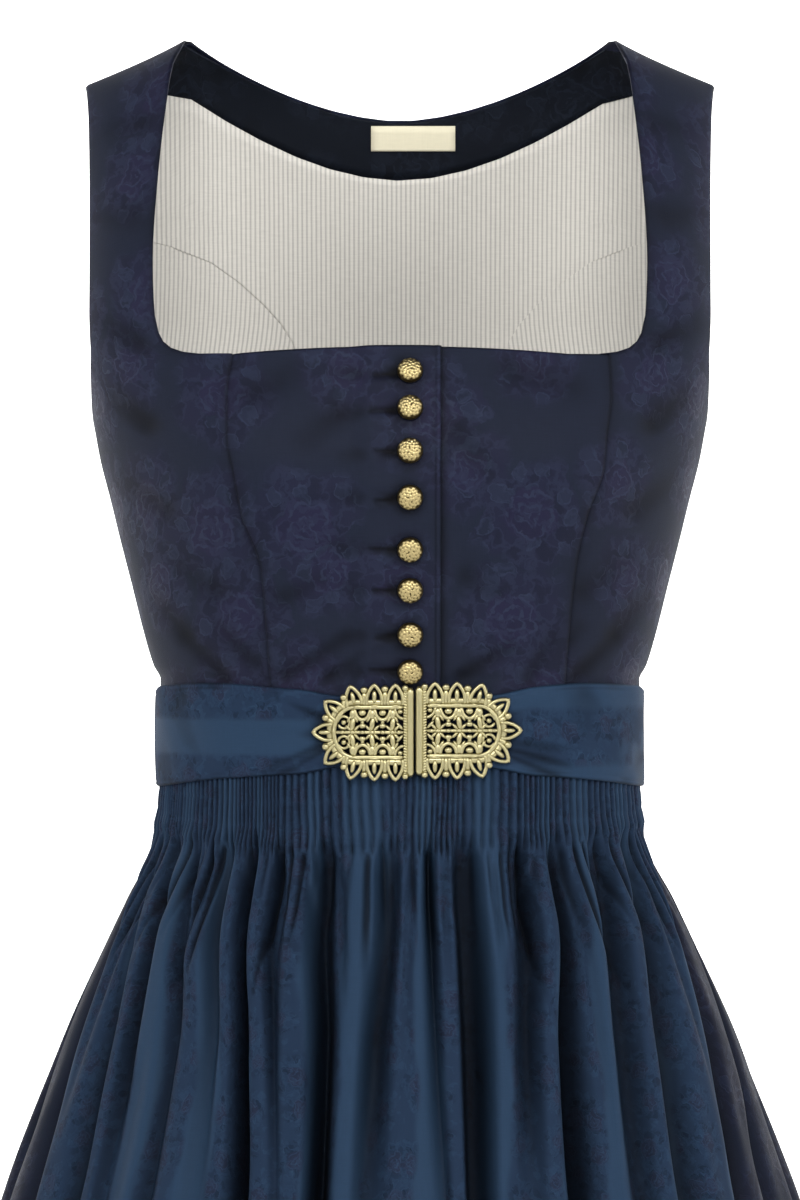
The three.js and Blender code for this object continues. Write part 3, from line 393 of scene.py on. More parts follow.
class Shell:
    """Two skins joined at their edges. Each is a list of rows of point numbers and places across."""

    def __init__(self, name, slot, material, nodes):
        self.name, self.slot, self.material, self.nodes = name, slot, material, nodes
        self.points, self.cloth, self.faces, self.count = [], [], [], 0

    def rows(self, points, cloth, across):
        """Adds rows of points with their places on the cloth, and returns their numbers."""
        made = []
        for row, marks in zip(points, cloth):
            made.append((np.arange(self.count, self.count + len(row)), across))
            self.points.append(row)
            self.cloth.append(marks)
            self.count += len(row)
        return made

    def ribbon(self, upper, lower, turned=False):
        (above, a), (below, b) = upper, lower
        if len(a) == len(b) and np.allclose(a, b):
            quads = np.stack([above[:-1], below[:-1], below[1:], above[1:]], 1)
            self.faces += (quads[:, ::-1] if turned else quads).tolist()
            return
        i = j = 0
        while i < len(a) - 1 or j < len(b) - 1:
            if j == len(b) - 1 or (i < len(a) - 1 and a[i + 1] <= b[j + 1]):
                face = [above[i], below[j], above[i + 1]]
                i += 1
            else:
                face = [above[i], below[j], below[j + 1]]
                j += 1
            self.faces.append([int(v) for v in (face[::-1] if turned else face)])

    def close(self, front, back, down_front, down_back):
        """Joins an outer and an inner skin. down_front and down_back are the rows' places down the cloth."""
        for skin, turned in ((front, False), (back, True)):
            for upper, lower in zip(skin, skin[1:]):
                self.ribbon(upper, lower, turned)
        self.ribbon(back[0], front[0])
        self.ribbon(front[-1], back[-1])
        side = lambda skin, end, down: (np.array([row[0][end] for row in skin]), down)
        self.ribbon(side(front, 0, down_front), side(back, 0, down_back))
        self.ribbon(side(back, -1, down_back), side(front, -1, down_front))

    def build(self):
        points = np.concatenate(self.points)
        first = np.array([face[:3] for face in self.faces])
        a, b, c = (points[first[:, i]] for i in range(3))
        quads = [face for face in self.faces if len(face) == 4]
        last = np.array(quads) if quads else np.zeros((0, 4), int)
        volume = np.einsum("ij,ij->", a, np.cross(b, c))
        if len(last):
            a, c, d = (points[last[:, i]] for i in (0, 2, 3))
            volume += np.einsum("ij,ij->", a, np.cross(c, d))
        faces = [face[::-1] for face in self.faces] if volume < 0 else self.faces
        cloth = np.concatenate(self.cloth)
        return make_piece(self.name, points, faces, cloth, self.slot, self.material, self.nodes)


def make_piece(name, points, faces, cloth, slot, material, nodes):
    """A mesh in metres that rides on the dress, takes its finish from a slot and stands for its solids."""
    label = name + ("_metal" if slot == "gilt" else "_cloth")
    mesh = bpy.data.meshes.new(label)
    mesh.from_pydata((points * MM).tolist(), [], faces)
    # The third part of the marks is painted shade on cloth, and on metal its height or polish, with painted
    # shade at a button's edge
    marks = mesh.attributes.new("cloth", "FLOAT_VECTOR", "POINT")
    marks.data.foreach_set("vector", np.ascontiguousarray(cloth, dtype=np.float32).ravel())
    mesh.shade_smooth()
    mesh.materials.append(material)
    mesh.update()
    piece = bpy.data.objects.new(label, mesh)
    bpy.context.scene.collection.objects.link(piece)
    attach(piece, "root")
    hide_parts(*nodes)
    return piece


def thinned(count, step):
    """Every so many numbers of a range, with its last one."""
    return np.unique(np.r_[np.arange(0, count, step), count - 1])


def panel(
    name, slot, material, skin, across, down, mark_x, lift=0.0, thick=BODICE_WALL, edges=(), folds=()
):
    """A cut panel on the bodice. edges says how its left, right, top and bottom edges are finished."""
    base = skin.base
    borders = dict(left=base[:, 0], right=base[:, -1], top=base[0], bottom=base[-1])
    relief = np.zeros(skin.drop.shape)
    for side, form in zip(("left", "right", "top", "bottom"), edges):
        if form != "hidden":
            relief = relief + EDGE_FORMS[form](distance_to(base, borders[side]))
    if len(folds):
        relief = relief + creases(folds, base[..., 0], skin.drop)
    if name == "front_right":
        stitched = base[..., 0] - LAP["stitch_x"]
        relief = relief - 0.5 * bell(stitched, 0.6) + 0.35 * bell(stitched - 1.6, 1.1)
    relief = np.maximum(relief, 0.25 - thick)
    shell = Shell(name, slot, material, [name])
    # Painted shade: darker in seam grooves and creases, under the clasp, round the buttons and beside the lap
    shade = np.exp(np.minimum(relief, 0)) * clasp_painted_shadow(base)
    shadows = dict(front_right=button_shadow, front_left=lap_shadow)
    if name in shadows:
        shade = shade * shadows[name](base)
    cloth = np.stack([mark_x, skin.drop, shade], -1)
    rows, columns = thinned(len(base), 4), thinned(base.shape[1], 4)
    front = shell.rows(skin.lifted(lift + relief), cloth, across)
    inner = skin.lifted(lift - thick)[rows][:, columns]
    marks = cloth[rows][:, columns].copy()
    marks[..., 2] = 1
    back = shell.rows(inner, marks, across[columns])
    shell.close(front, back, down, down[rows])
    return shell.build()


def level_rows(levels):
    levels = np.asarray(levels, float)
    return levels, (levels - levels[0]) / (levels[-1] - levels[0])


def across_of(share, offset):
    """A steadily growing place across for columns that are shares of a width with offsets."""
    return (share * 100 + offset) / 100


def front_panel(name, left_x, right_x, material, lift, edges, folds):
    """A front of the bodice between two edges that are given as distances from the middle."""
    levels, down = level_rows(stations(NECKLINE, WAIST_SEAM, 1.9))
    share, offset = spacing(64)
    level = levels[:, None]
    left, right = left_x(level), right_x(level)
    x = left + share * (right - left) + offset
    angle = bodice_angle(x, level)
    rise = NECKLINE_RISE * np.maximum(0, 1 - (x / PRINCESS["right"][0]) ** 2)
    drop = level - rise * (WAIST_SEAM - level) / (WAIST_SEAM - NECKLINE)
    skin = BodiceSkin(angle, drop)
    across = across_of(share, offset)
    return panel(name, "bodice_brocade", material, skin, across, down, x, lift(x), edges=edges, folds=folds)


def seam_x(side):
    column = "right" if side < 0 else "left"
    return lambda drop: side * curve(PRINCESS, column, drop)


def rim_angle(drop):
    return np.where(drop >= UNDERARM, math.pi / 2, np.radians(curve(ARMHOLE, "angle", drop)))


def side_front(name, side, material):
    """A side front with its shoulder strap. Its inner edge is the seam, then the side of the neckline."""
    body = stations(WAIST_SEAM, NECKLINE, 2.2)
    corner = NECKLINE - 12 * np.linspace(0.05, 1, 18) ** 2
    strap = np.r_[corner, np.linspace(152.5, 7, 62), 5.2, 3.8, 2.6, 1.6, 0.9, 0.4, 0]
    levels, down = level_rows(np.r_[body, strap])
    level = levels[:, None]
    share, offset = spacing(34)
    seam = seam_x(side)(level)
    inner_x = np.where(level >= NECKLINE, seam, side * curve(NECK_SIDE, "x", level))
    inner, rim = bodice_angle(inner_x, level), side * rim_angle(level)
    half = curve(BODY, "half", level)
    angle = inner + share * (rim - inner) + side * offset / half
    skin = BodiceSkin(angle, level)
    folds = [(side * x0, y0, side * x1, y1, w, d) for x0, y0, x1, y1, w, d in SIDE_CREASES]
    x = side * (np.abs(seam) + lengths_across(skin.base) + (np.abs(inner_x) - np.abs(seam)))
    edges = ("seam", "finished", "hidden", "hidden")
    across = across_of(share, offset)
    return panel(name, "bodice_brocade", material, skin, across, down, x, edges=edges, folds=folds)


def neck_drop(x):
    return BACK_NECK["depth"] * np.maximum(0, 1 - (np.abs(x) / SHOULDER["neck_x"]) ** BACK_NECK["power"])


def facing_drop(x):
    fall = FACING["rise"] * (np.abs(x) / SHOULDER["neck_x"]) ** FACING["power"]
    return np.maximum(FACING["depth"] - fall, FACING["least"])


def yoke_drop(level, x):
    """Above the yoke's start rows bend: one lies along the facing's lower edge, the last on the neck edge."""
    edge = facing_drop(x)
    above = (YOKE["start"] - level) / (YOKE["start"] - YOKE["facing"])
    upper = lerp(edge, neck_drop(x), (YOKE["facing"] - level) / YOKE["facing"])
    bent = np.where(level >= YOKE["facing"], lerp(YOKE["start"], edge, above), upper)
    return np.where(level >= YOKE["start"], level, bent)


def back_half_x(level):
    rim = section(curve(BODY, "half", level), 1, 1, curve(BODY, "exponent", level), rim_angle(level))[0]
    return np.where(level >= YOKE["start"], curve(BACK_SEAM, "x", level), rim)


def back_panel(name, slot, material, levels, lift, thick, count, edges, folds=()):
    """A panel across the whole back at rows that run down from the first level."""
    levels, down = level_rows(levels)
    level = levels[:, None]
    share, offset = spacing(count)
    half = back_half_x(level)
    x = -half + share * 2 * half + offset
    skin = BodiceSkin(back_angle(x, level), yoke_drop(level, x))
    return panel(name, slot, material, skin, across_of(share, offset), down, x, lift, thick, edges, folds)


def back_side(name, slot, side, material, lift, thick):
    """A back side between the curved back seam and the side seam, which ends in a point at the armhole."""
    levels, down = level_rows(np.r_[stations(WAIST_SEAM, 110, 2.4), np.linspace(106, YOKE["start"], 10)])
    level = levels[:, None]
    share, offset = spacing(26)
    rim, seam = math.pi - rim_angle(level), back_angle(curve(BACK_SEAM, "x", level), level)
    offset = offset * np.clip((seam - rim) * curve(BODY, "half", level) / 12, 0, 1)
    angle = rim + share * (seam - rim) + offset / curve(BODY, "half", level)
    skin = BodiceSkin(side * angle, level)
    x = side * (190 - lengths_across(skin.base))
    edges = ("seam", "seam", "hidden", "hidden")
    across = np.arange(len(share)) / len(share)
    return panel(name, slot, material, skin, across, down, x, lift, thick, edges)


INNER_LIFT = -BODICE_WALL - LAYER_GAP
BODY_LEVELS = stations(WAIST_SEAM, YOKE["start"] + 0.15, 2.6)
YOKE_LEVELS = np.linspace(YOKE["start"] - 0.15, YOKE["facing"] + 1, 18)
TOP_LEVELS = np.r_[np.linspace(YOKE["facing"], 5, 20), 4.0, 3.2, 2.4, 1.7, 1.1, 0.6, 0.25, 0]


def fold_angles(folds, drop, spread):
    """Angles of the fold lines at each drop, as rows of folds."""
    made = []
    spreads = np.broadcast_to(spread, folds["high"].shape)
    for high, middle, low, own in zip(folds["high"], folds["middle"], folds["low"], spreads):
        share = own * (high / 77) ** 2
        fan = table(
            "drop angle",
            (0, high * (1 + 0.15 * share)), (60, high * (1 + 0.11 * share)), (92, high), (165, middle),
            (259, low), (SKIRT_LENGTH, low + (low - middle) * 0.4),
        )
        made.append(curve(fan, "angle", drop))
    return np.stack(made, 1)


def fold_depths(folds, drop):
    made = []
    for high, middle, low in zip(folds["shallow"], folds["mean"], folds["deep"]):
        growth = table(
            "drop depth",
            (48, 0), (62, high * 0.55), (76, high * 0.92), (92, high), (165, middle), (259, low),
            (SKIRT_LENGTH, low * 1.15 + 6),
        )
        made.append(curve(growth, "depth", drop))
    return np.stack(made, 1)


def skirt_surface(degrees, drop, lift):
    angle, turn = np.radians(degrees), 0.01
    sizes = [curve(SKIRT, column, drop) for column in ("half", "front", "back", "exponent")]
    x, y = section(*sizes, angle)
    x1, y1 = section(*sizes, angle + turn)
    x0, y0 = section(*sizes, angle - turn)
    run = np.hypot(x1 - x0, y1 - y0)
    x, y = x + (y1 - y0) / run * lift, y - (x1 - x0) / run * lift
    return np.stack([x, y, -WAIST_SEAM - drop + 0 * x], -1)


def join_folds(*tables):
    return {column: np.concatenate([t[column] for t in tables]) for column in tables[0]}


class Folds:
    """Rows of folds: where each place across lies as an angle, and how far the cloth falls back there."""

    def __init__(self, folds, spread, depth_scale):
        self.folds, self.spread, self.depth_scale = folds, spread, depth_scale
        self.last = len(folds["high"]) - 1

    def at(self, share, drop):
        """Angles in degrees and inward falls for places share, from 0 to the last fold, at drops."""
        i = np.minimum(share.astype(int), self.last - 1)
        f = share - i
        angles = fold_angles(self.folds, drop, self.spread)
        depths = fold_depths(self.folds, drop) * self.depth_scale
        lean = 0.55 * np.sin(0.37 * self.folds["high"])
        degrees = lerp(angles[:, i], angles[:, i + 1], f)
        shift = f + lerp(lean[i], lean[i + 1], f) * np.sin(2 * np.pi * f) / (2 * np.pi)
        wave = (1 + np.cos(2 * np.pi * shift)) / 2
        near, far = depths[:, i], depths[:, i + 1]
        narrow = lambda depth: lerp(3.6, 1.7, np.clip(depth / 20, 0, 1))
        fall = np.where(shift < 0.5, near * wave ** narrow(near), far * wave ** narrow(far))
        gap = angles[:, i + 1] - angles[:, i]
        return degrees, np.maximum(fall, 0.9 * np.minimum(near, far) * smooth(4.0, 2.0, gap))


def from_front_seam(degrees):
    """Angles as one run from the right side, round the front and the back."""
    return np.where(degrees < -100, degrees + 360, degrees)


def small_folds(degrees, drop):
    """The many small folds that open below the gathers and run into the large ones."""
    turned = from_front_seam(degrees)
    ahead = np.maximum(np.cos(np.radians(turned)), 0)
    foot = lerp(SMOCKING["side_bottom"], SMOCKING["centre_bottom"], ahead)
    drift = 0.2 * np.sin(turned * 0.15 + 0.03 * drop)
    phase = turned / SMOCKING["fold_angle"] + 0.3 * np.sin(turned * 0.27) + drift
    chance = np.abs(np.sin(78.233 * np.floor(phase + 0.5)) * 24634.6345) % 1
    valley = ((1 + np.cos(2 * np.pi * phase)) / 2) ** SMALL_FOLDS["sharp"]
    fade = 1 - smooth(foot + 10 + 30 * chance, foot + 34 + 60 * chance, drop)
    reach = smooth(foot - 6, foot + 2, drop) * fade
    return -(SMALL_FOLDS["depth"] + SMALL_FOLDS["more"] * chance) * valley * reach


def crease_lift(degrees, drop):
    """The small creases between main folds, and a slow unevenness all over."""
    lift = small_folds(degrees, drop)
    turned = from_front_seam(degrees)
    for high, middle, low, start, end, depth, width in zip(*SKIRT_CREASES.values()):
        t = np.clip((drop - start) / (end - start), 0, 1)
        centre = lerp(lerp(high, middle, np.minimum(2 * t, 1)), low, np.maximum(2 * t - 1, 0))
        reach = smooth(0, 0.18, t) * (1 - smooth(0.45, 1, t))
        lift -= depth * reach * bell(turned - centre, width)
    grow = smooth(80, 300, drop)
    sway = np.sin(0.21 * degrees + 0.012 * drop) + 0.7 * np.sin(0.47 * degrees - 0.017 * drop + 2)
    return lift + grow * (0.9 * sway + 0.5 * np.sin(0.9 * degrees + 0.03 * drop))


def gather_lift(t, count, drop, foot, height):
    """Fine sharp gathers that fade out below the smocked band. t runs from 0 to 1 over all gathers."""
    wander = 0.16 * np.sin(0.11 * drop + 0.9 * count * t) + 0.1 * np.sin(0.05 * drop + 31 * t)
    phase = count * t + wander * smooth(20, 70, drop)
    number = np.floor(phase)
    chance = np.abs(np.sin(12.9898 * number) * 43758.5453) % 1
    profile = np.abs(np.sin(np.pi * phase)) ** 0.8 - 0.5
    held = 1 - 0.35 * sum(bell(drop - foot * s, 1.2) for s in (0.55, 0.78, 1))
    fade = 1 - smooth(foot - 6, foot + 2 + 9 * chance, drop)
    swell = 1 + 0.4 * bell(drop - foot + 3, 4)
    return height * (0.8 + 0.45 * chance) * profile * smooth(4, 14, drop) * fade * held * swell


def hem_roll(drop, end):
    away = end - drop
    return rolled(away, 0.9, 1.8) - 0.45 * bell(away - HEM["stitch"], HEM["width"])


class Zone:
    """A band of a draped piece, with its own drops and places across."""

    def __init__(self, drops, shares):
        self.drops, self.shares = np.asarray(drops, float), np.asarray(shares, float)


def draped(name, slot, material, folds, zones, base_lift, thick, relief, step=4):
    """A gathered piece: bands of rows on the skirt's form, with folds, and a plainer inner skin."""
    shell = Shell(name, slot, material, [name])
    last = folds.last
    probe = np.linspace(0, last, 1601)
    level = np.array([330.0])
    degrees, fall = folds.at(probe, level)
    line = skirt_surface(degrees, level[:, None], RIDGE_HEIGHT - fall + crease_lift(degrees, level[:, None]))
    marks_across = lengths_across(line)[0]
    marks_across = marks_across - marks_across[-1] / 2

    def skin(zone, outer):
        drop = zone.drops[:, None]
        degrees, fall = folds.at(zone.shares, zone.drops)
        crown = RIDGE_HEIGHT * smooth(SMOCKING["centre_bottom"], 92, drop)
        fine = relief(degrees, zone.shares / last, drop) if outer else -thick
        lift = base_lift(drop) + crown - fall + crease_lift(degrees, drop) + fine
        # Painted shade: the outer skin darkens where its neighbours close off the sky, under the clasp, in
        # deep folds and in small folds and gathers; the inner skin takes an even half shade
        open_sky = np.full(degrees.shape, 0.5)
        if outer:
            form = skirt_surface(degrees, drop, 0 * lift)
            open_sky = openness(form, lift, max(8, int(len(zone.shares) / 12))) * clasp_painted_shadow(form)
            shallow = fine + small_folds(degrees, drop)
            open_sky = open_sky * (1 - 0.5 * smooth(4, 15, fall)) * (1 - 0.6 * smooth(0.6, 3.2, -shallow))
        marks = np.broadcast_to(np.interp(zone.shares, probe, marks_across), degrees.shape)
        cloth = np.stack([marks, np.broadcast_to(drop, degrees.shape), open_sky], -1)
        return shell.rows(skirt_surface(degrees, drop, lift), cloth, zone.shares / last)

    front = [row for zone in zones for row in skin(zone, True)]
    drops = np.concatenate([zone.drops for zone in zones])
    inner_zones = [
        Zone(zone.drops[thinned(len(zone.drops), step)], zone.shares[thinned(len(zone.shares), 2)])
        for zone in zones
    ]
    back = [row for zone in inner_zones for row in skin(zone, False)]
    inner_drops = np.concatenate([zone.drops for zone in inner_zones])
    shell.close(front, back, drops / drops[-1], inner_drops / drops[-1])
    return shell.build()


def apron_foot(t):
    return lerp(SMOCKING["side_bottom"], SMOCKING["centre_bottom"], np.sin(np.pi * t))


def even_shares(last, count):
    """Places across that are closer in the valleys and at both ends."""
    inner = np.linspace(0.05, last - 0.05, count)
    inner = inner - 0.55 * np.sin(2 * np.pi * inner) / (2 * np.pi)
    edge = np.array([0, 0.003, 0.007, 0.012])
    return np.r_[edge, inner, last - edge[::-1]]


def gather_shares(folds, gathers, parts):
    """Places across that hit each gather's valley and ridge at the smocked band."""
    t = np.linspace(0, 1, gathers * parts + 1)
    angles = fold_angles(folds.folds, np.array([50.0]), folds.spread)[0]
    return np.interp(lerp(angles[0], angles[-1], t), angles, np.arange(folds.last + 1))


def back_fold_table():
    count, run = BACK_FOLDS["count"], 360 - 2 * SIDE_SEAM_ANGLE
    rows = []
    for i in range(count + 1):
        at = SIDE_SEAM_ANGLE + run * i / count
        if i in (0, count):
            rows.append((at, at, at, 3, 6, 9))
            continue
        wander = BACK_FOLDS["drift"] * math.sin(BACK_FOLDS["beat"] * i)
        change = BACK_FOLDS["swing"] * math.sin(1.7 * i + 1)
        depths = (depth + change for depth in BACK_FOLDS["depths"])
        rows.append((at + wander, at + wander * 0.5, at - wander * 0.6, *depths))
    return table(FOLD_COLUMNS, *rows)


# Node helpers


class Wire:
    """One output of a node tree that takes plain arithmetic."""

    def __init__(self, tree, socket):
        self.tree, self.socket = tree, socket

    def math(self, operation, *others, clamp=False):
        node = self.tree.nodes.new("ShaderNodeMath")
        node.operation, node.use_clamp = operation, clamp
        for place, value in zip(node.inputs, (self, *others)):
            join(self.tree, value, place)
        return Wire(self.tree, node.outputs[0])

    def __add__(self, other):
        return self.math("ADD", other)

    def __sub__(self, other):
        return self.math("SUBTRACT", other)

    def __rsub__(self, other):
        return self.math("MULTIPLY_ADD", -1.0, other)

    def __mul__(self, other):
        return self.math("MULTIPLY", other)

    def __truediv__(self, other):
        return self.math("DIVIDE", other)

    __radd__, __rmul__ = __add__, __mul__

    def step(self, low, high):
        """0 below low, 1 above high, smooth between. Falls instead where high is below low."""
        node = self.tree.nodes.new("ShaderNodeMapRange")
        node.interpolation_type = "SMOOTHSTEP"
        for place, value in zip(node.inputs[:5], (self, low, high, 0.0, 1.0)):
            join(self.tree, value, place)
        return Wire(self.tree, node.outputs[0])


def join(tree, value, place):
    if isinstance(value, Wire):
        tree.links.new(value.socket, place)
    else:
        place.default_value = value


def parts_of(tree, vector):
    node = tree.nodes.new("ShaderNodeSeparateXYZ")
    join(tree, vector, node.inputs[0])
    return [Wire(tree, out) for out in node.outputs]


def vector_of(tree, x, y, z=0.0):
    node = tree.nodes.new("ShaderNodeCombineXYZ")
    for place, value in zip(node.inputs, (x, y, z)):
        join(tree, value, place)
    return Wire(tree, node.outputs[0])


def noise(tree, vector, scale, detail=2.0, roughness=0.5):
    node = tree.nodes.new("ShaderNodeTexNoise")
    for name, value in dict(Vector=vector, Scale=scale, Detail=detail, Roughness=roughness).items():
        join(tree, value, node.inputs[name])
    return Wire(tree, node.outputs["Fac"])


def cells(tree, u, v, pitch, randomness):
    """The nearest cell's own coordinates in millimetres and two random numbers of it."""
    node = tree.nodes.new("ShaderNodeTexVoronoi")
    node.voronoi_dimensions = "2D"
    join(tree, vector_of(tree, u / pitch, v / pitch), node.inputs["Vector"])
    node.inputs["Scale"].default_value = 1.0
    node.inputs["Randomness"].default_value = randomness
    x, y, _ = parts_of(tree, Wire(tree, node.outputs["Position"]))
    red, green, _ = parts_of(tree, Wire(tree, node.outputs["Color"]))
    return (u / pitch - x) * pitch, (v / pitch - y) * pitch, red, green


def mix_colour(tree, share, first, second):
    node = tree.nodes.new("ShaderNodeMix")
    node.data_type = "RGBA"
    join(tree, share, node.inputs[0])
    join(tree, first, node.inputs[6])
    join(tree, second, node.inputs[7])
    return Wire(tree, node.outputs[2])


def node_group(name, takes, gives, fill):
    """A shader node group with named inputs and outputs, filled once."""
    group = bpy.data.node_groups.new(name, "ShaderNodeTree")
    for label, kind, value in takes:
        socket = group.interface.new_socket(name=label, in_out="INPUT", socket_type=kind)
        if value is not None:
            socket.default_value = value
    for label in gives:
        group.interface.new_socket(name=label, in_out="OUTPUT", socket_type="NodeSocketFloat")
    enter, leave = group.nodes.new("NodeGroupInput"), group.nodes.new("NodeGroupOutput")
    results = fill(group, {label: Wire(group, enter.outputs[label]) for label, _, _ in takes})
    for label, value in results.items():
        join(group, value, leave.inputs[label])
    return group


def placed(tree, group, **values):
    """A node group in a material, with its own values. Returns its outputs by name."""
    node = tree.nodes.new("ShaderNodeGroup")
    node.node_tree = group
    for label, value in values.items():
        join(tree, value, node.inputs[label.replace("_", " ")])
    return {out.name: Wire(tree, out) for out in node.outputs}


def scatter(tree, vector, scale, reach):
    """Two uneven offsets that change over the surface."""
    node = tree.nodes.new("ShaderNodeTexNoise")
    join(tree, vector, node.inputs["Vector"])
    node.inputs["Scale"].default_value, node.inputs["Detail"].default_value = scale, 2.0
    red, green, _ = parts_of(tree, Wire(tree, node.outputs["Color"]))
    return (red - 0.5) * reach, (green - 0.5) * reach


def fill_florals(tree, takes):
    """Clusters of ragged roses with ringed petals and leaves round them, on a plain ground."""
    place = takes["Place"]
    u, v, _ = parts_of(tree, place)
    rose, leaf, fleck = takes["Rose Pitch"], takes["Leaf Pitch"], takes["Fleck Pitch"]
    spot = vector_of(tree, u / leaf, v / leaf)
    du, dv = scatter(tree, spot, 1.3, leaf * 0.75)
    fu, fv = scatter(tree, spot, 5.0, leaf * 0.22)
    u, v = u + du + fu, v + dv + fv
    x, y, red, green = cells(tree, u, v, rose, 0.7)
    radius = (x * x + y * y).math("SQRT")
    turn = y.math("ARCTAN2", x) + red * TURN
    reach = rose * (green * 0.1 + 0.19)
    share = radius / (reach * ((turn * 2.5).math("COSINE").math("ABSOLUTE") * 0.2 + 0.84))
    bloom = share.step(1.08, 0.9)
    broken = noise(tree, vector_of(tree, u / fleck, v / fleck), 0.55, 2.0).step(0.38, 0.5)
    rings = (share * 15.0 + (turn * 3.0).math("SINE") * 1.5).math("COSINE").step(0.35, 0.9) * bloom * broken
    near = share.step(2.5, 1.7)
    p, q, turn_leaf, chance = cells(tree, u, v, leaf, 0.85)
    cosine, sine = (turn_leaf * TURN).math("COSINE"), (turn_leaf * TURN).math("SINE")
    along = (p * cosine + q * sine) / leaf
    aside = (q * cosine - p * sine).math("ABSOLUTE") / leaf
    room = (along * along * -2.2 + 0.34) - aside
    grown = near * (1.0 - bloom) * chance.step(0.2, 0.26)
    leaves = room.step(0.0, 0.06) * grown
    edge = room.step(-0.03, 0.02) * room.step(0.1, 0.05) * grown
    contour = noise(tree, vector_of(tree, u / fleck, v / fleck), 0.3, 3.0)
    strokes = (contour - 0.5).math("ABSOLUTE").step(0.05, 0.02) * near
    specks = contour.step(0.55, 0.6) * near
    return {
        "Bloom": bloom,
        "Leaf": leaves,
        "Line": rings.math("MAXIMUM", edge * broken).math("MAXIMUM", strokes * 0.45),
        "Dark": specks * (1.0 - bloom * 0.4),
        "Near": near,
        "Fleck": contour.step(0.44, 0.36),
    }


def fill_weave(tree, takes):
    """Crossing threads, with slubs that run along the warp."""
    u, v, _ = parts_of(tree, takes["Place"])
    pitch = takes["Pitch"]
    warp, weft = (u / pitch * TURN).math("SINE"), (v / pitch * TURN).math("SINE")
    slub = noise(tree, vector_of(tree, u * 1.7, v * 0.09), 1.0, 3.0)
    cross = noise(tree, vector_of(tree, u * 0.12, v * 1.5), 1.0, 2.0)
    return {"Height": warp * weft * 0.5 + 0.5 + (slub + cross) * 0.7, "Thread": (slub + cross) * 0.5}


def fill_wear(tree, takes):
    """Polished high places and dull, dark low ones on cast metal, with fine pits."""
    height = takes["Height"]
    coordinates = Wire(tree, tree.nodes.new("ShaderNodeTexCoord").outputs["Object"])
    cloud = noise(tree, coordinates, 260.0, 3.0, 0.6)
    pits = noise(tree, coordinates, 2600.0, 2.0, 0.6)
    polished = (height + (cloud - 0.5) * 0.5).step(takes["Low"], takes["High"])
    return {"Polish": polished, "Pits": pits, "Cloud": cloud}


def shared_groups():
    """The three effects that several materials use, by name, built once."""
    vector, number = "NodeSocketVector", "NodeSocketFloat"
    if "florals" not in bpy.data.node_groups:
        node_group(
            "florals",
            [("Place", vector, None), ("Rose Pitch", number, 44.0), ("Leaf Pitch", number, 13.0),
             ("Fleck Pitch", number, 3.6)],
            ["Bloom", "Leaf", "Line", "Dark", "Near", "Fleck"],
            fill_florals,
        )
        node_group(
            "weave", [("Place", vector, None), ("Pitch", number, 0.6)], ["Height", "Thread"], fill_weave
        )
        node_group(
            "metal wear",
            [("Height", number, 0.5), ("Low", number, 0.2), ("High", number, 0.7)],
            ["Polish", "Pits", "Cloud"],
            fill_wear,
        )
    return bpy.data.node_groups


def linear(colour):
    """A colour property's value as a four-part colour."""
    return (*colour[:3], 1.0)


def rgb(*parts):
    """A display colour of 0 to 255 as linear light."""
    return tuple(((c / 255 + 0.055) / 1.055) ** 2.4 if c > 10 else c / 255 / 12.92 for c in parts)


def scaled(colour, factor):
    return (*(c * factor for c in colour[:3]), 1.0)


def new_material(name, **constants):
    """A material with the shader's own constants set, its tree, its shader and the place on the cloth."""
    material = bpy.data.materials.new(name)
    material.use_nodes = True
    tree = material.node_tree
    shader = tree.nodes["Principled BSDF"]
    for label, value in constants.items():
        shader.inputs[label.replace("_", " ")].default_value = value
    mark = tree.nodes.new("ShaderNodeAttribute")
    mark.attribute_name = "cloth"
    return material, tree, shader, Wire(tree, mark.outputs["Vector"])


def bump(tree, shader, height, distance, strength=1.0):
    node = tree.nodes.new("ShaderNodeBump")
    node.inputs["Distance"].default_value = distance
    node.inputs["Strength"].default_value = strength
    join(tree, height, node.inputs["Height"])
    tree.links.new(node.outputs[0], shader.inputs["Normal"])


def with_painted_fold_shade(tree, place, colour, depth, power):
    """A cloth's colour, deeper where folds and seams close it off."""
    _, _, open_sky = parts_of(tree, place)
    deep = mix_colour(tree, depth, colour, (0, 0, 0, 1))
    return mix_colour(tree, open_sky.math("POWER", power), deep, colour)


def woven_material(name, specular):
    """A material with the weave in it: its tree, shader, place on the cloth, threads and their tone."""
    material, tree, shader, place = new_material(name, Specular_IOR_Level=specular)
    pitch = bpy.context.scene.dirndl_look.weave_pitch / MM
    threads = placed(tree, shared_groups()["weave"], Place=place, Pitch=pitch)
    return material, tree, shader, place, threads, threads["Thread"].step(0.2, 0.8)


def laid_over(tree, colour, *layers):
    """A colour with others laid over it, each by its own mask."""
    for mask, own in layers:
        colour = mix_colour(tree, mask, colour, own)
    return colour


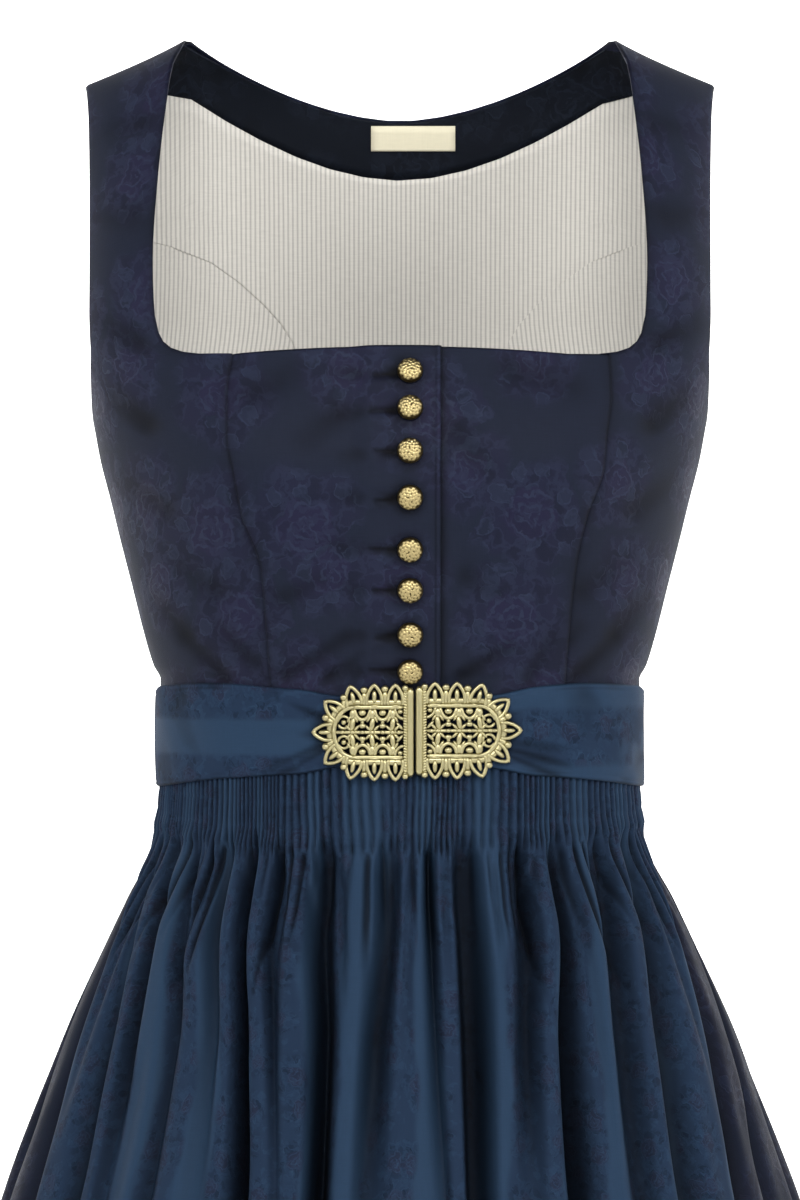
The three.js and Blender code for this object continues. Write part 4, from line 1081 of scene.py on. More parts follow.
def brocade(name, ground, bloom):
    """Tone-on-tone brocade: purple-tinted roses with lighter outlines and leaves on a plain ground."""
    material, tree, shader, place, threads, tone = woven_material(name, 0.09)
    marks = placed(
        tree, shared_groups()["florals"], Place=place, Rose_Pitch=56.0, Leaf_Pitch=14.0, Fleck_Pitch=3.0
    )
    colour = laid_over(
        tree,
        mix_colour(tree, tone, scaled(ground, 0.88), scaled(ground, 1.1)),
        (marks["Near"] * 0.4, linear(bloom)),
        (marks["Bloom"] * 0.6, linear(bloom)),
        (marks["Leaf"] * 0.6, scaled(ground, 1.6)),
        (marks["Dark"] * 0.4, scaled(ground, 0.6)),
        (marks["Line"] * 0.7, scaled(ground, 2.1)),
    )
    # Painted shade darkens the colour in folds and seams
    join(tree, with_painted_fold_shade(tree, place, colour, 0.92, 1.5), shader.inputs["Base Color"])
    join(tree, 0.66 - marks["Bloom"] * 0.05 - marks["Line"] * 0.08, shader.inputs["Roughness"])
    bump(tree, shader, threads["Height"] * 0.35 + marks["Bloom"] * 0.4 + marks["Line"] * 0.7, 0.0001, 0.8)
    return material


def damask(name, rose, fleck, band):
    """Steel-blue damask: smooth satin bands run down it between flecked bands of flowers."""
    look = bpy.context.scene.dirndl_look
    material, tree, shader, place, threads, tone = woven_material(name, 0.07)
    u, v, _ = parts_of(tree, place)
    pitches = dict(Rose_Pitch=rose, Leaf_Pitch=rose * 0.36, Fleck_Pitch=fleck)
    marks = placed(tree, shared_groups()["florals"], Place=place, **pitches)
    if band:
        scallop = (v / 17.0).math("SINE") * 2.2 + (v / 6.1).math("SINE") * 0.9
        position = ((u + scallop) / band).math("PINGPONG", 0.5)
        floral = position.step(0.15, 0.24)
    else:
        above = (CLASP["drop"] + BELT_WAVE["drop"]) - v
        rows = above.math("ABSOLUTE").step(8.0, 12.0)
        cluster = above.math("ABSOLUTE").step(18.0, 12.0) * noise(tree, place, 0.03, 1.0).step(0.3, 0.4)
        right = u.step(BELT_WAVE["turn"], BELT_WAVE["turn"] + 20.0)
        floral = rows * right + cluster * (1.0 - right)
    colour = laid_over(
        tree,
        mix_colour(tree, tone, scaled(look.satin, 0.93), scaled(look.satin, 1.08)),
        (floral * 0.7, linear(look.damask)),
        (marks["Bloom"] * floral * 0.7, linear(look.damask_tint)),
        (marks["Leaf"] * floral * 0.7, scaled(look.damask, 0.65)),
        (marks["Line"] * floral * 0.6, scaled(look.satin, 1.2)),
        (marks["Dark"] * floral * 0.4, scaled(look.damask, 0.6)),
        (marks["Fleck"] * floral * 0.35, scaled(look.satin, 1.3)),
    )
    # Painted shade darkens the colour in folds and seams
    join(tree, with_painted_fold_shade(tree, place, colour, 0.9, 1.7), shader.inputs["Base Color"])
    join(tree, 0.64 + floral * 0.1, shader.inputs["Roughness"])
    bump(tree, shader, threads["Height"] * 0.3 + marks["Line"] * floral * 0.8, 0.0001, 0.7)
    return material


def plain_cloth(name, colour, roughness, spread=0.1):
    """A plain woven cloth with uneven threads."""
    material, tree, shader, place, threads, tone = woven_material(name, 0.09)
    cloud = noise(tree, place, 0.045, 3.0)
    low, high = scaled(colour, 1 - spread), scaled(colour, 1 + spread)
    woven = mix_colour(tree, tone * 0.6 + cloud * 0.4, low, high)
    # Painted shade darkens the colour in folds and seams
    join(tree, with_painted_fold_shade(tree, place, woven, 0.9, 2.0), shader.inputs["Base Color"])
    join(tree, roughness + (tone - 0.5) * 0.1, shader.inputs["Roughness"])
    bump(tree, shader, threads["Height"], 0.0001, 0.5)
    return material


def striped_lining():
    """Cream lining with fine grey stripes down it."""
    look = bpy.context.scene.dirndl_look
    material, tree, shader, place, threads, tone = woven_material("striped lining", 0.3)
    u, v, _ = parts_of(tree, place)
    wander = (noise(tree, vector_of(tree, u * 0.05, v * 0.02), 1.0) - 0.5) * 0.5
    wave = ((u + wander) / (look.stripe_pitch / MM) * TURN).math("SINE")
    stripe = wave.step(-0.1, 0.75)
    dark = (tone * 0.5 + stripe) * 0.66
    colour = mix_colour(tree, dark, linear(look.lining), linear(look.stripe))
    join(tree, colour, shader.inputs["Base Color"])
    join(tree, 0.66 + stripe * 0.06, shader.inputs["Roughness"])
    bump(tree, shader, threads["Height"] * 0.4 - stripe * 0.4, 0.0001, 0.6)
    return material


def gilt(name):
    """Cast gilt metal: bright on its high places, brown and dull in its low ones."""
    look = bpy.context.scene.dirndl_look
    metal = look.brass if "button" in name else look.gilt
    material, tree, shader, place = new_material(name, Metallic=1.0)
    _, _, height = parts_of(tree, place)
    marks = placed(tree, shared_groups()["metal wear"], Height=height, Low=0.25, High=0.8)
    dull = mix_colour(tree, marks["Cloud"], linear(look.patina), scaled(look.patina, 2.2))
    join(tree, mix_colour(tree, marks["Polish"], dull, linear(metal)), shader.inputs["Base Color"])
    join(tree, 0.55 - marks["Polish"] * 0.26 + marks["Cloud"] * 0.08, shader.inputs["Roughness"])
    bump(tree, shader, marks["Pits"] * 0.4 + marks["Cloud"], 0.00012, 0.5)
    return material


# Small cast metal


class Casting:
    """Beads, wires and bars in a flat plane of out, up and height, joined into one mesh."""

    def __init__(self):
        self.points, self.faces, self.count = [], [], 0

    def add(self, points, faces):
        self.points.append(np.asarray(points, float))
        self.faces += [[int(i) + self.count for i in face] for face in faces]
        self.count += len(points)

    def bead(self, centre, radii, turn=0.0, around=12, rings=7):
        """A bead with its own radii out, up and in height, turned in the plane."""
        lat = np.linspace(0, np.pi, rings + 1)[1:-1]
        lon = np.arange(around) * 2 * np.pi / around
        ring = [(math.sin(a) * math.cos(o), math.sin(a) * math.sin(o), math.cos(a)) for a in lat for o in lon]
        unit = np.array([(0, 0, 1), *ring, (0, 0, -1)]) * radii
        c, s = math.cos(turn), math.sin(turn)
        spun = np.stack([unit[:, 0] * c - unit[:, 1] * s, unit[:, 0] * s + unit[:, 1] * c, unit[:, 2]], 1)
        last = len(unit) - 1
        faces = []
        for k in range(around):
            n = (k + 1) % around
            faces.append([0, 1 + k, 1 + n])
            faces.append([last, last - around + n, last - around + k])
            for r in range(len(lat) - 1):
                low = 1 + r * around
                faces.append([low + k, low + around + k, low + around + n, low + n])
        self.add(spun + centre, faces)

    def wire(self, path, radius, height, flat=0.8, sides=8, closed=False):
        """A wire of a rounded section along a path in the plane, with round ends."""
        path = np.asarray(path, float)
        if closed:
            run = np.roll(path, -1, 0) - np.roll(path, 1, 0)
        else:
            run = np.gradient(path, axis=0)
        run /= np.linalg.norm(run, axis=1, keepdims=True)
        side = np.stack([run[:, 1], -run[:, 0]], 1)
        angles = np.arange(sides) * 2 * np.pi / sides
        size = np.full(len(path), float(radius))
        if not closed:
            size[[0, -1]] *= 0.55
        across = np.cos(angles)[None, :, None] * side[:, None, :] * size[:, None, None]
        flat_points = path[:, None, :] + across
        up = height + np.sin(angles)[None, :] * size[:, None] * flat
        points = np.concatenate([flat_points, up[..., None]], -1).reshape(-1, 3)
        count = len(path)
        faces = []
        for i in range(count if closed else count - 1):
            j = (i + 1) % count
            for k in range(sides):
                n = (k + 1) % sides
                faces.append([i * sides + k, i * sides + n, j * sides + n, j * sides + k])
        if not closed:
            faces += [list(range(sides))[::-1], [(count - 1) * sides + k for k in range(sides)]]
        self.add(points, faces)


def arc(centre, wide, high, start, end, count=14):
    a = np.radians(np.linspace(start, end, count))
    return np.stack([centre[0] + wide * np.cos(a), centre[1] + high * np.sin(a)], 1)


def petal_path(out, up, lean, sign, half, reach, base=0.0):
    t = np.linspace(0, 1, 13)
    width = half * (1 - t**2.4) ** 0.85 * (1 + 0.12 * np.sin(np.pi * t))
    side = np.r_[-width, width[-2::-1]]
    rise = base + (reach - base) * np.r_[t, t[-2::-1]]
    turn = math.radians(lean)
    x = out + side * math.cos(turn) + rise * math.sin(turn)
    y = up - side * math.sin(turn) + rise * math.cos(turn)
    return np.stack([x, sign * y], 1)


def rim_path(beyond=0.0):
    """The field's edge, or a line beyond it: straight above and below, and rounded at its outer end."""
    half = RIM["half"] + beyond
    straight = np.linspace(RIM["straight_from"], RIM["straight_to"], 16)
    a = np.linspace(np.pi / 2, -np.pi / 2, 31)[1:-1]
    bend = RIM["end"] + beyond - RIM["straight_to"]
    end = np.stack([RIM["straight_to"] + bend * np.cos(a), half * np.sin(a)], 1)
    top = np.stack([straight, straight * 0 + half], 1)
    return np.concatenate([top, end, (top * (1, -1))[::-1]])


def clasp_half(name, side, material):
    """One half of the clasp: a rod, a beaded strip, and a pierced field in a rim with nine petals."""
    cast = Casting()
    bar = [(2.5, v) for v in np.linspace(-24.2, 24.2, 24)]
    cast.wire(bar, 2.05, 1.3, 0.7, 12)
    cast.wire([(u + 2.2, v * 0.97) for u, v in bar], 1.9, 0.7, 0.7, 10)
    for v in np.arange(-22.6, 22.7, 1.5):
        cast.bead((5.4, v, 1.7), (1.5, 0.8, 0.7), 0.5, 8, 5)
    cast.wire(rim_path(), 1.35, 1.2, 0.9)
    cast.wire(rim_path(2.6), 1.9, 0.7, 0.6)
    cast.wire([(u, 0) for u in np.linspace(6, 46, 24)], 1.05, 1.2)
    for u in (*COLUMNS, 9.2, *HANGING_ARCS, 41.2):
        cast.bead((u, 0, 1.7), (1.7, 1.2, 1.0))
    for row in zip(PETALS["out"], PETALS["up"], PETALS["lean"]):
        for sign in (1, -1) if row[1] > 0 else (1,):
            cast.wire(petal_path(*row, sign, PETAL["half"], PETAL["reach"]), PETAL["wire"], 1.3, 0.95)
            turn = math.radians(row[2])
            along = lambda rise: (row[0] + rise * math.sin(turn), sign * (row[1] + rise * math.cos(turn)))
            cast.bead((*along(4.8), 1.6), (1.4, 3.6, 1.3), -sign * turn, 12, 8)
            cast.bead((*along(10.9), 1.5), (1.2, 1.4, 1.1), -sign * turn, 10, 6)
            cast.bead((*along(-0.2), 1.4), (3.4, 0.9, 1.2), -sign * turn, 12, 7)
    for out, up, size in zip(EDGE_BEADS["out"], EDGE_BEADS["up"], EDGE_BEADS["size"]):
        for sign in (1, -1):
            foot = (min(out, 45.5), up * 0.56) if out > 30 else (out, RIM["half"])
            stem = [lerp(np.array(foot), np.array((out, up)), t) * (1, sign) for t in (0, 0.33, 0.66, 1)]
            cast.wire(stem, 1.6, 0.9)
            cast.bead((out, sign * up, 1.5), (size, size, size * 0.85), 0, 14, 9)
    for sign in (1, -1):
        half_turn = (180, 360) if sign > 0 else (0, 180)
        for u in HANGING_ARCS:
            cast.wire(arc((u, sign * 13), 4.5, 6.2, *half_turn), 1.2, 1.3, 0.95)
            cast.bead((u, sign * 10.6, 1.6), (2.2, 1.8, 1.4), 0, 14, 8)
            cast.bead((u, sign * 3.5, 1.4), (2.1, 1.5, 1.1))
            cast.wire([(u, sign * v) for v in (3.4, 4.6, 5.8, 6.8)], 1.1, 1.1)
        quarter = (270, 360) if sign > 0 else (0, 90)
        cast.wire(arc((6.2, sign * 13), 5.0, 5.6, *quarter), 0.95, 1.3, 0.95)
        cast.bead((8.3, sign * 11.2, 1.5), (1.6, 1.4, 1.3))
        cast.bead((8.6, sign * 3.4, 1.2), (1.0, 2.9, 1.0), -sign * 0.75)
        for u in COLUMNS:
            for out, up, height, radii, turn, around, rings in STAR_BEADS:
                cast.bead((u + out, sign * up, height), radii, sign * turn, around, rings)
        cast.wire(arc((40.4, sign * 5.4), 3.3, 3.3, 0, 342, 22), 0.85, 1.25, 0.95)
        cast.bead((40.4, sign * 5.4, 1.5), (1.5, 1.5, 1.3))
    flat = np.concatenate(cast.points)
    # The right half turns away a little and hangs lower
    shown, sunk = (0.955, 0.9) if side < 0 else (1.0, 0.0)
    x = CLASP["centre_x"] + side * flat[:, 0] * shown
    lift = CLASP["lift"] + flat[:, 2]
    angle = angle_at_x(x, WAIST["half"] + lift, WAIST["exponent"])
    x, y = section(WAIST["half"] + lift, WAIST["front"] + lift, 1, WAIST["exponent"], angle)
    points = np.stack([x, y, -CLASP["drop"] - sunk + flat[:, 1]], 1)
    faces = cast.faces if side > 0 else [face[::-1] for face in cast.faces]
    cloth = np.stack([flat[:, 0], flat[:, 1], np.clip(flat[:, 2] / 2.4, 0, 1)], 1)
    return make_piece(name, points, [face[::-1] for face in faces], cloth, "gilt", material, [name])


def button(number, drop, material):
    """A domed button covered with small grains in a spiral, with a wire round its edge and a shank."""
    radius, rise, foot = BUTTON["radius"], 3.9, 1.6
    around, rings, grains = 72, 30, 40
    k = np.arange(grains) + 0.5
    grain_r = radius * 0.9 * np.sqrt(k / grains)
    grain_a = k * math.radians(137.508) + number
    t = np.linspace(0, 1, rings + 1)[1:]
    a = np.arange(around) * 2 * np.pi / around
    r = radius * np.sin(t * np.pi / 2)
    x, y = r[:, None] * np.cos(a), r[:, None] * np.sin(a)
    dome = foot + rise * np.cos(t * np.pi / 2)[:, None] ** 0.85 + 0 * x
    from_grain = (x[..., None] - grain_r * np.cos(grain_a), y[..., None] - grain_r * np.sin(grain_a))
    away = np.hypot(*from_grain).min(-1)
    grain = np.sqrt(np.maximum(0, 1 - (away / 1.08) ** 2))
    fade = smooth(1.0, 0.86, r / radius)[:, None]
    height = dome + 0.6 * grain * fade
    rim = bell(r - 6.3, 0.35)[:, None]
    height = height + 0.25 * rim
    top = np.array([[0, 0, foot + rise + 0.3]])
    skin = np.stack([x, y, height], -1).reshape(-1, 3)
    under = [(6.4, 2.0), (4.6, 1.5), (1.9, 1.3), (1.7, 0.3)]
    below = np.concatenate([np.stack([s * np.cos(a), s * np.sin(a), 0 * a + h], 1) for s, h in under])
    points = np.concatenate([top, skin, below, [[0, 0, 0.3]]])
    faces = [[0, 1 + k, 1 + (k + 1) % around] for k in range(around)]
    for i in range(rings + len(under) - 1):
        low, high = 1 + i * around, 1 + (i + 1) * around
        faces += [[low + k, high + k, high + (k + 1) % around, low + (k + 1) % around] for k in range(around)]
    last, low = len(points) - 1, 1 + (rings + len(under) - 1) * around
    faces += [[last, low + (k + 1) % around, low + k] for k in range(around)]
    # Painted shade: the dome darkens towards its edge, while the grains and the rim are polished bright
    edge_shade = 1 - 0.5 * smooth(0.55, 1.0, r / radius)[:, None]
    grain_polish_and_edge_shade = (0.3 + 0.7 * np.maximum(grain * fade, rim * 0.4)) * edge_shade
    polish_and_edge_shade = np.r_[0.9, grain_polish_and_edge_shade.ravel(), np.full(len(below) + 1, 0.1)]
    angle = bodice_angle(np.array([[BUTTON["x"]]]), np.array([[float(drop)]]))
    skin_place = BodiceSkin(angle, np.array([[float(drop)]]))
    foot_point, out = skin_place.lifted(LAP_LIFT)[0, 0], skin_place.normal[0, 0]
    side = np.cross((0, 0, 1), out)
    side /= np.linalg.norm(side)
    up = np.cross(out, side)
    world = foot_point + points[:, :1] * side + points[:, 1:2] * up + points[:, 2:] * out
    cloth = np.stack([points[:, 0], points[:, 1], polish_and_edge_shade], 1)
    return make_piece(f"button_{number}", world, faces, cloth, "gilt", material, [f"button_{number}"])


# What a user would change


def colour_property(name, text, *parts):
    """A colour that a user can change, given as a display colour of 0 to 255."""
    return bpy.props.FloatVectorProperty(
        name=name, description=text, subtype="COLOR", size=3, default=rgb(*parts)
    )


def length_property(name, text, default):
    """A length in metres that a user can change."""
    return bpy.props.FloatProperty(
        name=name, description=text, unit="LENGTH", default=default, precision=5
    )


class DirndlLook(bpy.types.PropertyGroup):
    """Colours and fine sizes of the dress."""

    bodice: colour_property("Bodice", "Ground of the bodice brocade", 21, 26, 40)
    bloom: colour_property("Bloom", "Roses of the brocade", 27, 25, 48)
    skirt: colour_property("Skirt", "Cloth of the skirt", 13, 19, 34)
    skirt_tint: colour_property("Skirt tint", "Roses of the skirt", 17, 17, 33)
    satin: colour_property("Satin", "Smooth bands of the apron", 31, 49, 70)
    damask: colour_property("Damask", "Flowered bands of the apron", 23, 35, 54)
    damask_tint: colour_property("Damask tint", "Flowers of the apron", 28, 31, 48)
    lining: colour_property("Lining", "Light stripes of the lining", 214, 210, 202)
    stripe: colour_property("Stripe", "Dark stripes of the lining", 166, 163, 157)
    facing: colour_property("Facing", "Neck facing", 13, 17, 25)
    label: colour_property("Label", "Blank woven label", 214, 207, 182)
    gilt: colour_property("Gilt", "High places of the clasp", 168, 160, 122)
    brass: colour_property("Brass", "High places of the buttons", 168, 152, 108)
    patina: colour_property("Patina", "Low places of buttons and clasp", 46, 38, 22)
    weave_pitch: length_property("Weave pitch", "Distance between threads", 0.0006)
    stripe_pitch: length_property("Stripe pitch", "Distance between lining stripes", 0.0027)


class DirndlDrape(bpy.types.PropertyGroup):
    """How the skirt and the apron fall."""

    fold_depth: bpy.props.FloatProperty(
        name="Fold depth", description="Depth of the folds against that of the solids", default=1.35
    )
    gather_height: length_property("Gather height", "Height of the fine gathers", 0.0026)


def piece_operator(idname, label, text, work):
    """An operator class that builds one piece or one group of like pieces."""

    def execute(self, context):
        work()
        return {"FINISHED"}

    name = "DIRNDL_OT_" + idname
    fields = {"bl_idname": "dirndl." + idname, "bl_label": label, "__doc__": text, "execute": execute}
    return type(name, (bpy.types.Operator,), fields)


def build_bodice():
    look = bpy.context.scene.dirndl_look
    cloth = brocade("bodice brocade", look.bodice, look.bloom)
    lap = lambda x: LAP_LIFT * smooth(LAP["fold_x"], LAP["full_x"], x)
    right_edge = lambda drop: LAP["right_x"] + 0 * drop
    left_edge = lambda drop: LAP["left_x"] + 0 * drop
    front_folds = BUTTONHOLE_CREASES + FRONT_CREASES
    lapped = ("seam", "finished", "finished", "hidden")
    front_panel("front_right", seam_x(-1), right_edge, cloth, lap, lapped, front_folds)
    beneath = ("hidden", "seam", "finished", "hidden")
    front_panel("front_left", left_edge, seam_x(1), cloth, lambda x: 0 * x, beneath, FRONT_CREASES)
    for name, side in (("side_front_right", -1), ("side_front_left", 1)):
        side_front(name, side, cloth)
    levels = np.r_[BODY_LEVELS, YOKE_LEVELS, TOP_LEVELS]
    edges = ("seam", "seam", "hidden", "finished")
    back_panel("back_centre", "bodice_brocade", cloth, levels, 0.0, BODICE_WALL, 90, edges, BACK_CREASES)
    for name, side in (("back_side_right", -1), ("back_side_left", 1)):
        back_side(name, "bodice_brocade", side, cloth, 0.0, BODICE_WALL)


def build_lining():
    look = bpy.context.scene.dirndl_look
    cloth = striped_lining()
    levels = np.r_[BODY_LEVELS, YOKE_LEVELS, YOKE["facing"]]
    edges = ("seam", "seam", "hidden", "hidden")
    back_panel("lining_centre", "lining", cloth, levels, INNER_LIFT, LINING_WALL, 70, edges)
    for name, side in (("lining_side_right", -1), ("lining_side_left", 1)):
        back_side(name, "lining", side, cloth, INNER_LIFT, LINING_WALL)
    facing = brocade("facing brocade", look.facing, look.facing)
    facing_levels = np.linspace(YOKE["facing"] - 1, YOKE["facing_top"], 30)
    back_panel("neck_facing", "facing", facing, facing_levels, INNER_LIFT, LINING_WALL, 70, ("hidden",) * 4)
    x = LABEL["x"] + (np.linspace(0, 1, 40) - 0.5) * LABEL["width"]
    drop = LABEL["drop"] + np.linspace(0, 1, 14)[:, None] * LABEL["height"]
    skin = BodiceSkin(back_angle(x, drop), drop + 0 * x)
    lift = INNER_LIFT - LINING_WALL - LAYER_GAP - EASE
    woven = plain_cloth("label satin", look.label, 0.55, 0.06)
    across, down = np.linspace(0, 1, 40), np.linspace(0, 1, 14)
    panel("label", "label", woven, skin, across, down, x + 0 * drop, lift, LINING_WALL, ("hidden",) * 4)


def build_buttons():
    metal = gilt("gilt buttons")
    for number, drop in enumerate(BUTTON["drops"], 1):
        button(number, drop, metal)


def build_skirt():
    look, drape = bpy.context.scene.dirndl_look, bpy.context.scene.dirndl_drape
    cloth = brocade("skirt brocade", look.skirt, look.skirt_tint)
    height = drape.gather_height / MM
    base = lambda drop: -UNDER_APRON * smooth(28, 76, drop)
    spread = np.r_[0, 0, np.ones(len(APRON_FOLDS["high"])), 0, 0, 0]
    front = Folds(join_folds(SIDE_FOLDS_RIGHT, APRON_FOLDS, SIDE_FOLDS_LEFT), spread, drape.fold_depth)
    hem = stations(663, SKIRT_LENGTH, 6)[1:]
    front_zone = Zone(
        np.r_[np.linspace(SEAM_GAP, 100, 34), np.linspace(106, 660, 62), hem], even_shares(front.last, 400)
    )
    beside = lambda degrees: smooth(89.5, 92.5, np.abs(degrees))

    def front_relief(degrees, t, drop):
        return hem_roll(drop, SKIRT_LENGTH) + beside(degrees) * gather_lift(t, 106, drop, 54, height * 0.7)

    def back_relief(degrees, t, drop):
        return hem_roll(drop, SKIRT_LENGTH) + gather_lift(t, 92, drop, 56, height * 0.9)

    draped("skirt_front", "skirt_cloth", cloth, front, [front_zone], base, SKIRT_WALL, front_relief)
    back = Folds(back_fold_table(), 0, drape.fold_depth)
    back_zones = [
        Zone(np.linspace(SEAM_GAP, 112, 36), gather_shares(back, 92, 6)),
        Zone(np.r_[np.linspace(118, 660, 62), hem], even_shares(back.last, 340)),
    ]
    draped("skirt_back", "skirt_cloth", cloth, back, back_zones, base, SKIRT_WALL, back_relief)


def build_apron():
    drape = bpy.context.scene.dirndl_drape
    cloth = damask("apron damask", 21.0, 1.7, 58.0)
    folds = Folds(APRON_FOLDS, np.ones(len(APRON_FOLDS["high"])), drape.fold_depth)
    count, height = SMOCKING["gathers"], drape.gather_height / MM

    def relief(degrees, t, drop):
        return hem_roll(drop, APRON_LENGTH) + gather_lift(t, count, drop, apron_foot(t), height)

    zones = [
        Zone(np.linspace(SEAM_GAP, 118, 46), gather_shares(folds, count, 6)),
        Zone(np.r_[np.linspace(123, 620, 96), stations(626, APRON_LENGTH, 6)], even_shares(folds.last, 450)),
    ]
    lift = lambda drop: APRON_LIFT + APRON_WALL + 0 * drop
    draped("apron", "apron_damask", cloth, folds, zones, lift, APRON_WALL, relief)


def build_belt():
    cloth = damask("belt jacquard", 26.0, 2.6, 0.0)
    start = angle_at_x(BELT["left_x"], WAIST["half"], WAIST["exponent"])
    end = 2 * math.pi + angle_at_x(BELT["right_x"], WAIST["half"], WAIST["exponent"])
    share = np.r_[0, 0.0004, 0.001, 0.0018, np.linspace(0.003, 0.997, 380), 0.9982, 0.999, 0.9996, 1]
    angle = lerp(float(start), float(end), share)
    from_front = np.degrees(np.minimum(angle, 2 * math.pi - angle))
    down = np.r_[0, 0.006, 0.016, 0.03, 0.05, np.linspace(0.075, 0.925, 26), 0.95, 0.97, 0.984, 0.994, 1]
    flat_x = (WAIST["half"] * np.abs(np.sin(angle)) ** (2 / WAIST["exponent"])) * np.sign(np.sin(angle))
    ahead = np.cos(angle) > 0
    reach = np.abs(flat_x - CLASP["centre_x"])
    drawn_in = np.where(ahead, BELT_GATHER["depth"] * (1 - smooth(*BELT_GATHER["run"], reach)), 0)
    top = curve(BELT_EDGES, "top", from_front, "angle") + drawn_in
    bottom = curve(BELT_EDGES, "bottom", from_front, "angle") - drawn_in
    drop = top + down[:, None] * (bottom - top)
    away = np.minimum(drop - top, bottom - drop)
    relief = rolled(away, 1.1, 1.8) - 0.3 * bell(away - 2.6, 0.8)
    relief = relief + np.where(ahead, creases(BELT_CREASES, flat_x + 0 * drop, drop), 0)
    relief = relief + 0.35 * np.sin(7 * angle + 0.05 * drop) + 0.2 * np.sin(17 * angle - 0.11 * drop)

    def skin(lift, rows, columns):
        a = angle[columns][None, :] + 0 * drop[rows][:, columns]
        lift = np.broadcast_to(lift, drop.shape)[rows][:, columns]
        sizes = (WAIST["half"] + lift, WAIST["front"] + lift, WAIST["back"] + lift, WAIST["exponent"])
        x, y = section(*sizes, a)
        return np.stack([x, y, -drop[rows][:, columns]], -1)

    shell = Shell("belt", "apron_damask", cloth, ["belt"])
    every = (np.arange(len(down)), np.arange(len(share)))
    some = (thinned(len(down), 5), thinned(len(share), 5))
    lie = skin(0.0, *every)
    # Painted shade: darker in the belt's rolled edges and creases and under the clasp
    shade = np.exp(np.minimum(relief + 0.3, 0) * 0.7) * clasp_painted_shadow(lie)
    marks = np.stack([angle[None, :] * 118 + 0 * drop, drop, shade], -1)
    front = shell.rows(skin(BELT["lift"] + BELT_WALL + relief, *every), marks, share)
    inner_marks = marks[some[0]][:, some[1]].copy()
    inner_marks[..., 2] = 1
    back = shell.rows(skin(BELT["lift"], *some), inner_marks, share[some[1]])
    shell.close(front, back, down, down[some[0]])
    shell.build()


def build_clasp():
    metal = gilt("gilt clasp")
    clasp_half("clasp_right", -1, metal)
    clasp_half("clasp_left", 1, metal)


# The stage in metres: the floor and wall from the middle outwards, the lights and the camera
STAGE_PROFILE = table(
    "radius z", (0.01, -1.12), (2, -1.12), (4, -1.12), (5.6, -1.12), (6.2, -1.04), (6.7, -0.8),
    (6.95, -0.4), (7, 0.2), (7, 5),
)
LIGHTS = table(
    "x y z wide high watts",
    (-2.3, -2.0, 0.9, 1.0, 1.8, 15), (2.3, -2.0, 0.9, 1.0, 1.8, 27), (0, -3.4, 1.7, 1.8, 1.0, 92),
    (-1.6, 1.2, 1.0, 0.8, 1.6, 10), (1.6, 1.2, 1.0, 0.8, 1.6, 10),
)
LIGHT_TARGET = (0, 0, -0.3)
CAMERA = dict(lens=187.5, sensor=36, place=(0, -3.5, -0.301))


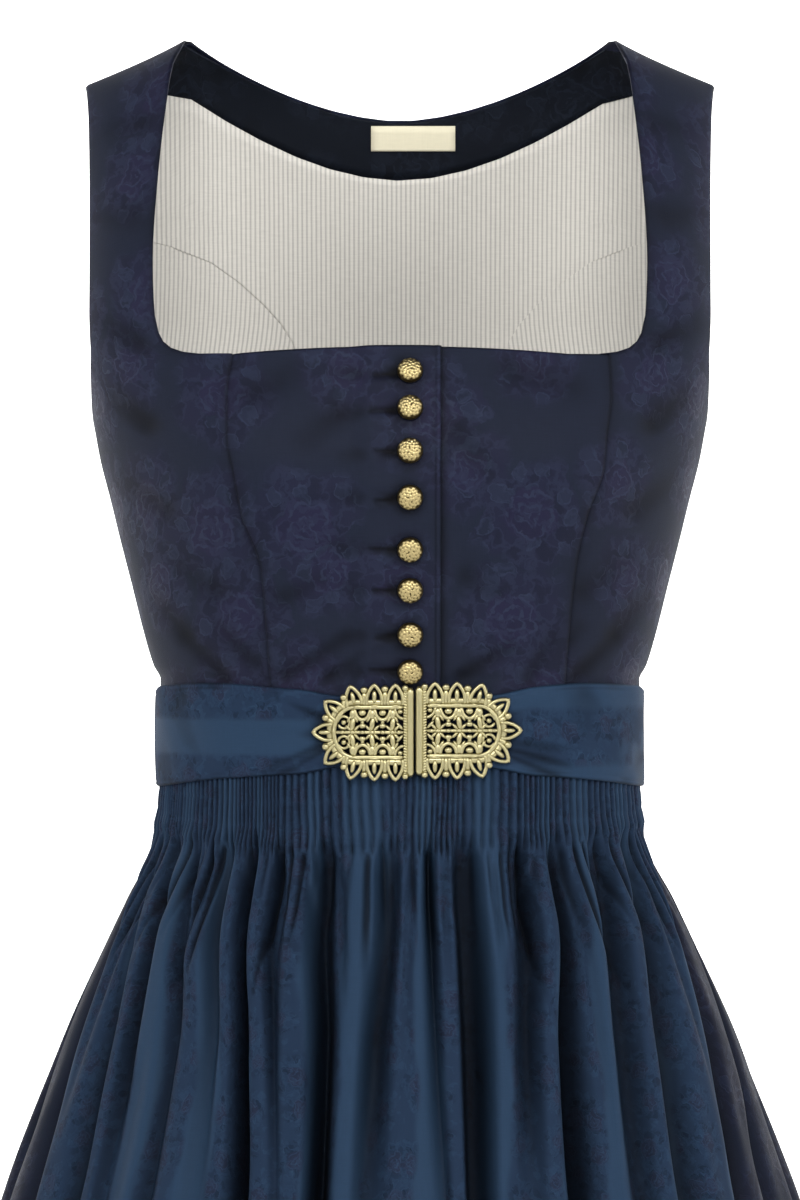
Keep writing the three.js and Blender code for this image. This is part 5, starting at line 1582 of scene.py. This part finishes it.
def build_stage():
    """A pale round floor that runs up into a pale wall all round, soft lights and the camera."""
    around = 64
    turn = np.arange(around) * 2 * np.pi / around
    circle = list(zip(np.cos(turn), np.sin(turn)))
    points = [(r * x, r * y, z) for r, z in zip(*STAGE_PROFILE.values()) for x, y in circle]
    faces = []
    for low in range(0, len(points) - around, around):
        high = low + around
        faces += [(low + k, high + k, high + (k + 1) % around, low + (k + 1) % around) for k in range(around)]
    mesh = bpy.data.meshes.new("studio_cove")
    mesh.from_pydata(points, [], faces)
    mesh.shade_smooth()
    paper, tree, shader, _ = new_material("studio paper", Roughness=0.95, Specular_IOR_Level=0.1)
    shader.inputs["Base Color"].default_value = (0.93, 0.93, 0.925, 1)
    shader.inputs["Emission Strength"].default_value = 1
    # Painted light: the cove glows, faintly at the floor and brighter up the wall
    _, depth, _ = parts_of(tree, Wire(tree, tree.nodes.new("ShaderNodeTexCoord").outputs["Object"]))
    glow = mix_colour(tree, depth.step(-1.0, 2.5), (0.2, 0.2, 0.2, 1), (0.93, 0.93, 0.93, 1))
    join(tree, glow, shader.inputs["Emission Color"])
    outside = Wire(tree, tree.nodes.new("ShaderNodeNewGeometry").outputs["Backfacing"])
    join(tree, 1.0 - outside, shader.inputs["Alpha"])
    paper.cycles.emission_sampling = "NONE"
    mesh.materials.append(paper)
    cove = bpy.data.objects.new("studio_cove", mesh)
    bpy.context.scene.collection.objects.link(cove)
    for i, (x, y, z, wide, high, watts) in enumerate(zip(*LIGHTS.values())):
        data = bpy.data.lights.new(f"softbox_{i}", "AREA")
        data.shape, data.size, data.size_y, data.energy = "RECTANGLE", wide, high, watts
        lamp = bpy.data.objects.new(data.name, data)
        lamp.location = (x, y, z)
        way = np.array(LIGHT_TARGET) - np.array([x, y, z])
        tilt = math.atan2(math.hypot(way[0], way[1]), -way[2])
        lamp.rotation_euler = (tilt, 0, math.atan2(-way[0], way[1]))
        bpy.context.scene.collection.objects.link(lamp)
    world = bpy.data.worlds.new("studio air")
    world.use_nodes = True
    air = world.node_tree.nodes["Background"].inputs
    air["Color"].default_value, air["Strength"].default_value = (0.9, 0.94, 1.0, 1), 0.1
    bpy.context.scene.world = world
    data = bpy.data.cameras.new("camera")
    data.lens, data.sensor_width = CAMERA["lens"], CAMERA["sensor"]
    camera = bpy.data.objects.new("camera", data)
    camera.location = CAMERA["place"]
    camera.rotation_euler = (math.pi / 2, 0, 0)
    bpy.context.scene.collection.objects.link(camera)
    bpy.context.scene.camera = camera
    bpy.context.scene.view_settings.view_transform = "Standard"


OPERATORS = [
    piece_operator(name, name.capitalize(), "Builds " + text, work)
    for name, text, work in (
        ("bodice", "the seven outer panels of the bodice.", build_bodice),
        ("lining", "the lining, the neck facing and the blank label.", build_lining),
        ("buttons", "the eight gilt buttons.", build_buttons),
        ("skirt", "the front and the back of the skirt.", build_skirt),
        ("apron", "the smocked apron.", build_apron),
        ("belt", "the belt.", build_belt),
        ("clasp", "both halves of the pierced clasp.", build_clasp),
        ("stage", "the backdrop, the lights and the camera.", build_stage),
    )
]


class DIRNDL_PT_panel(bpy.types.Panel):
    """The dress's pieces and what can be changed about them."""

    bl_idname = "DIRNDL_PT_panel"
    bl_label = "Dirndl"
    bl_space_type = "VIEW_3D"
    bl_region_type = "UI"
    bl_category = "Dirndl"

    def draw(self, context):
        for group in (context.scene.dirndl_look, context.scene.dirndl_drape):
            for name in group.__annotations__:
                self.layout.prop(group, name)
        for operator in OPERATORS:
            self.layout.operator(operator.bl_idname)


CLASSES = [DirndlLook, DirndlDrape, *OPERATORS, DIRNDL_PT_panel]


def register():
    for item in CLASSES:
        bpy.utils.register_class(item)
    bpy.types.Scene.dirndl_look = bpy.props.PointerProperty(type=DirndlLook)
    bpy.types.Scene.dirndl_drape = bpy.props.PointerProperty(type=DirndlDrape)


def unregister():
    del bpy.types.Scene.dirndl_look
    del bpy.types.Scene.dirndl_drape
    for item in reversed(CLASSES):
        bpy.utils.unregister_class(item)


def main():
    register()
    for operator in OPERATORS:
        getattr(bpy.ops.dirndl, operator.bl_idname.split(".")[1])()


if __name__ == "__main__":
    main()
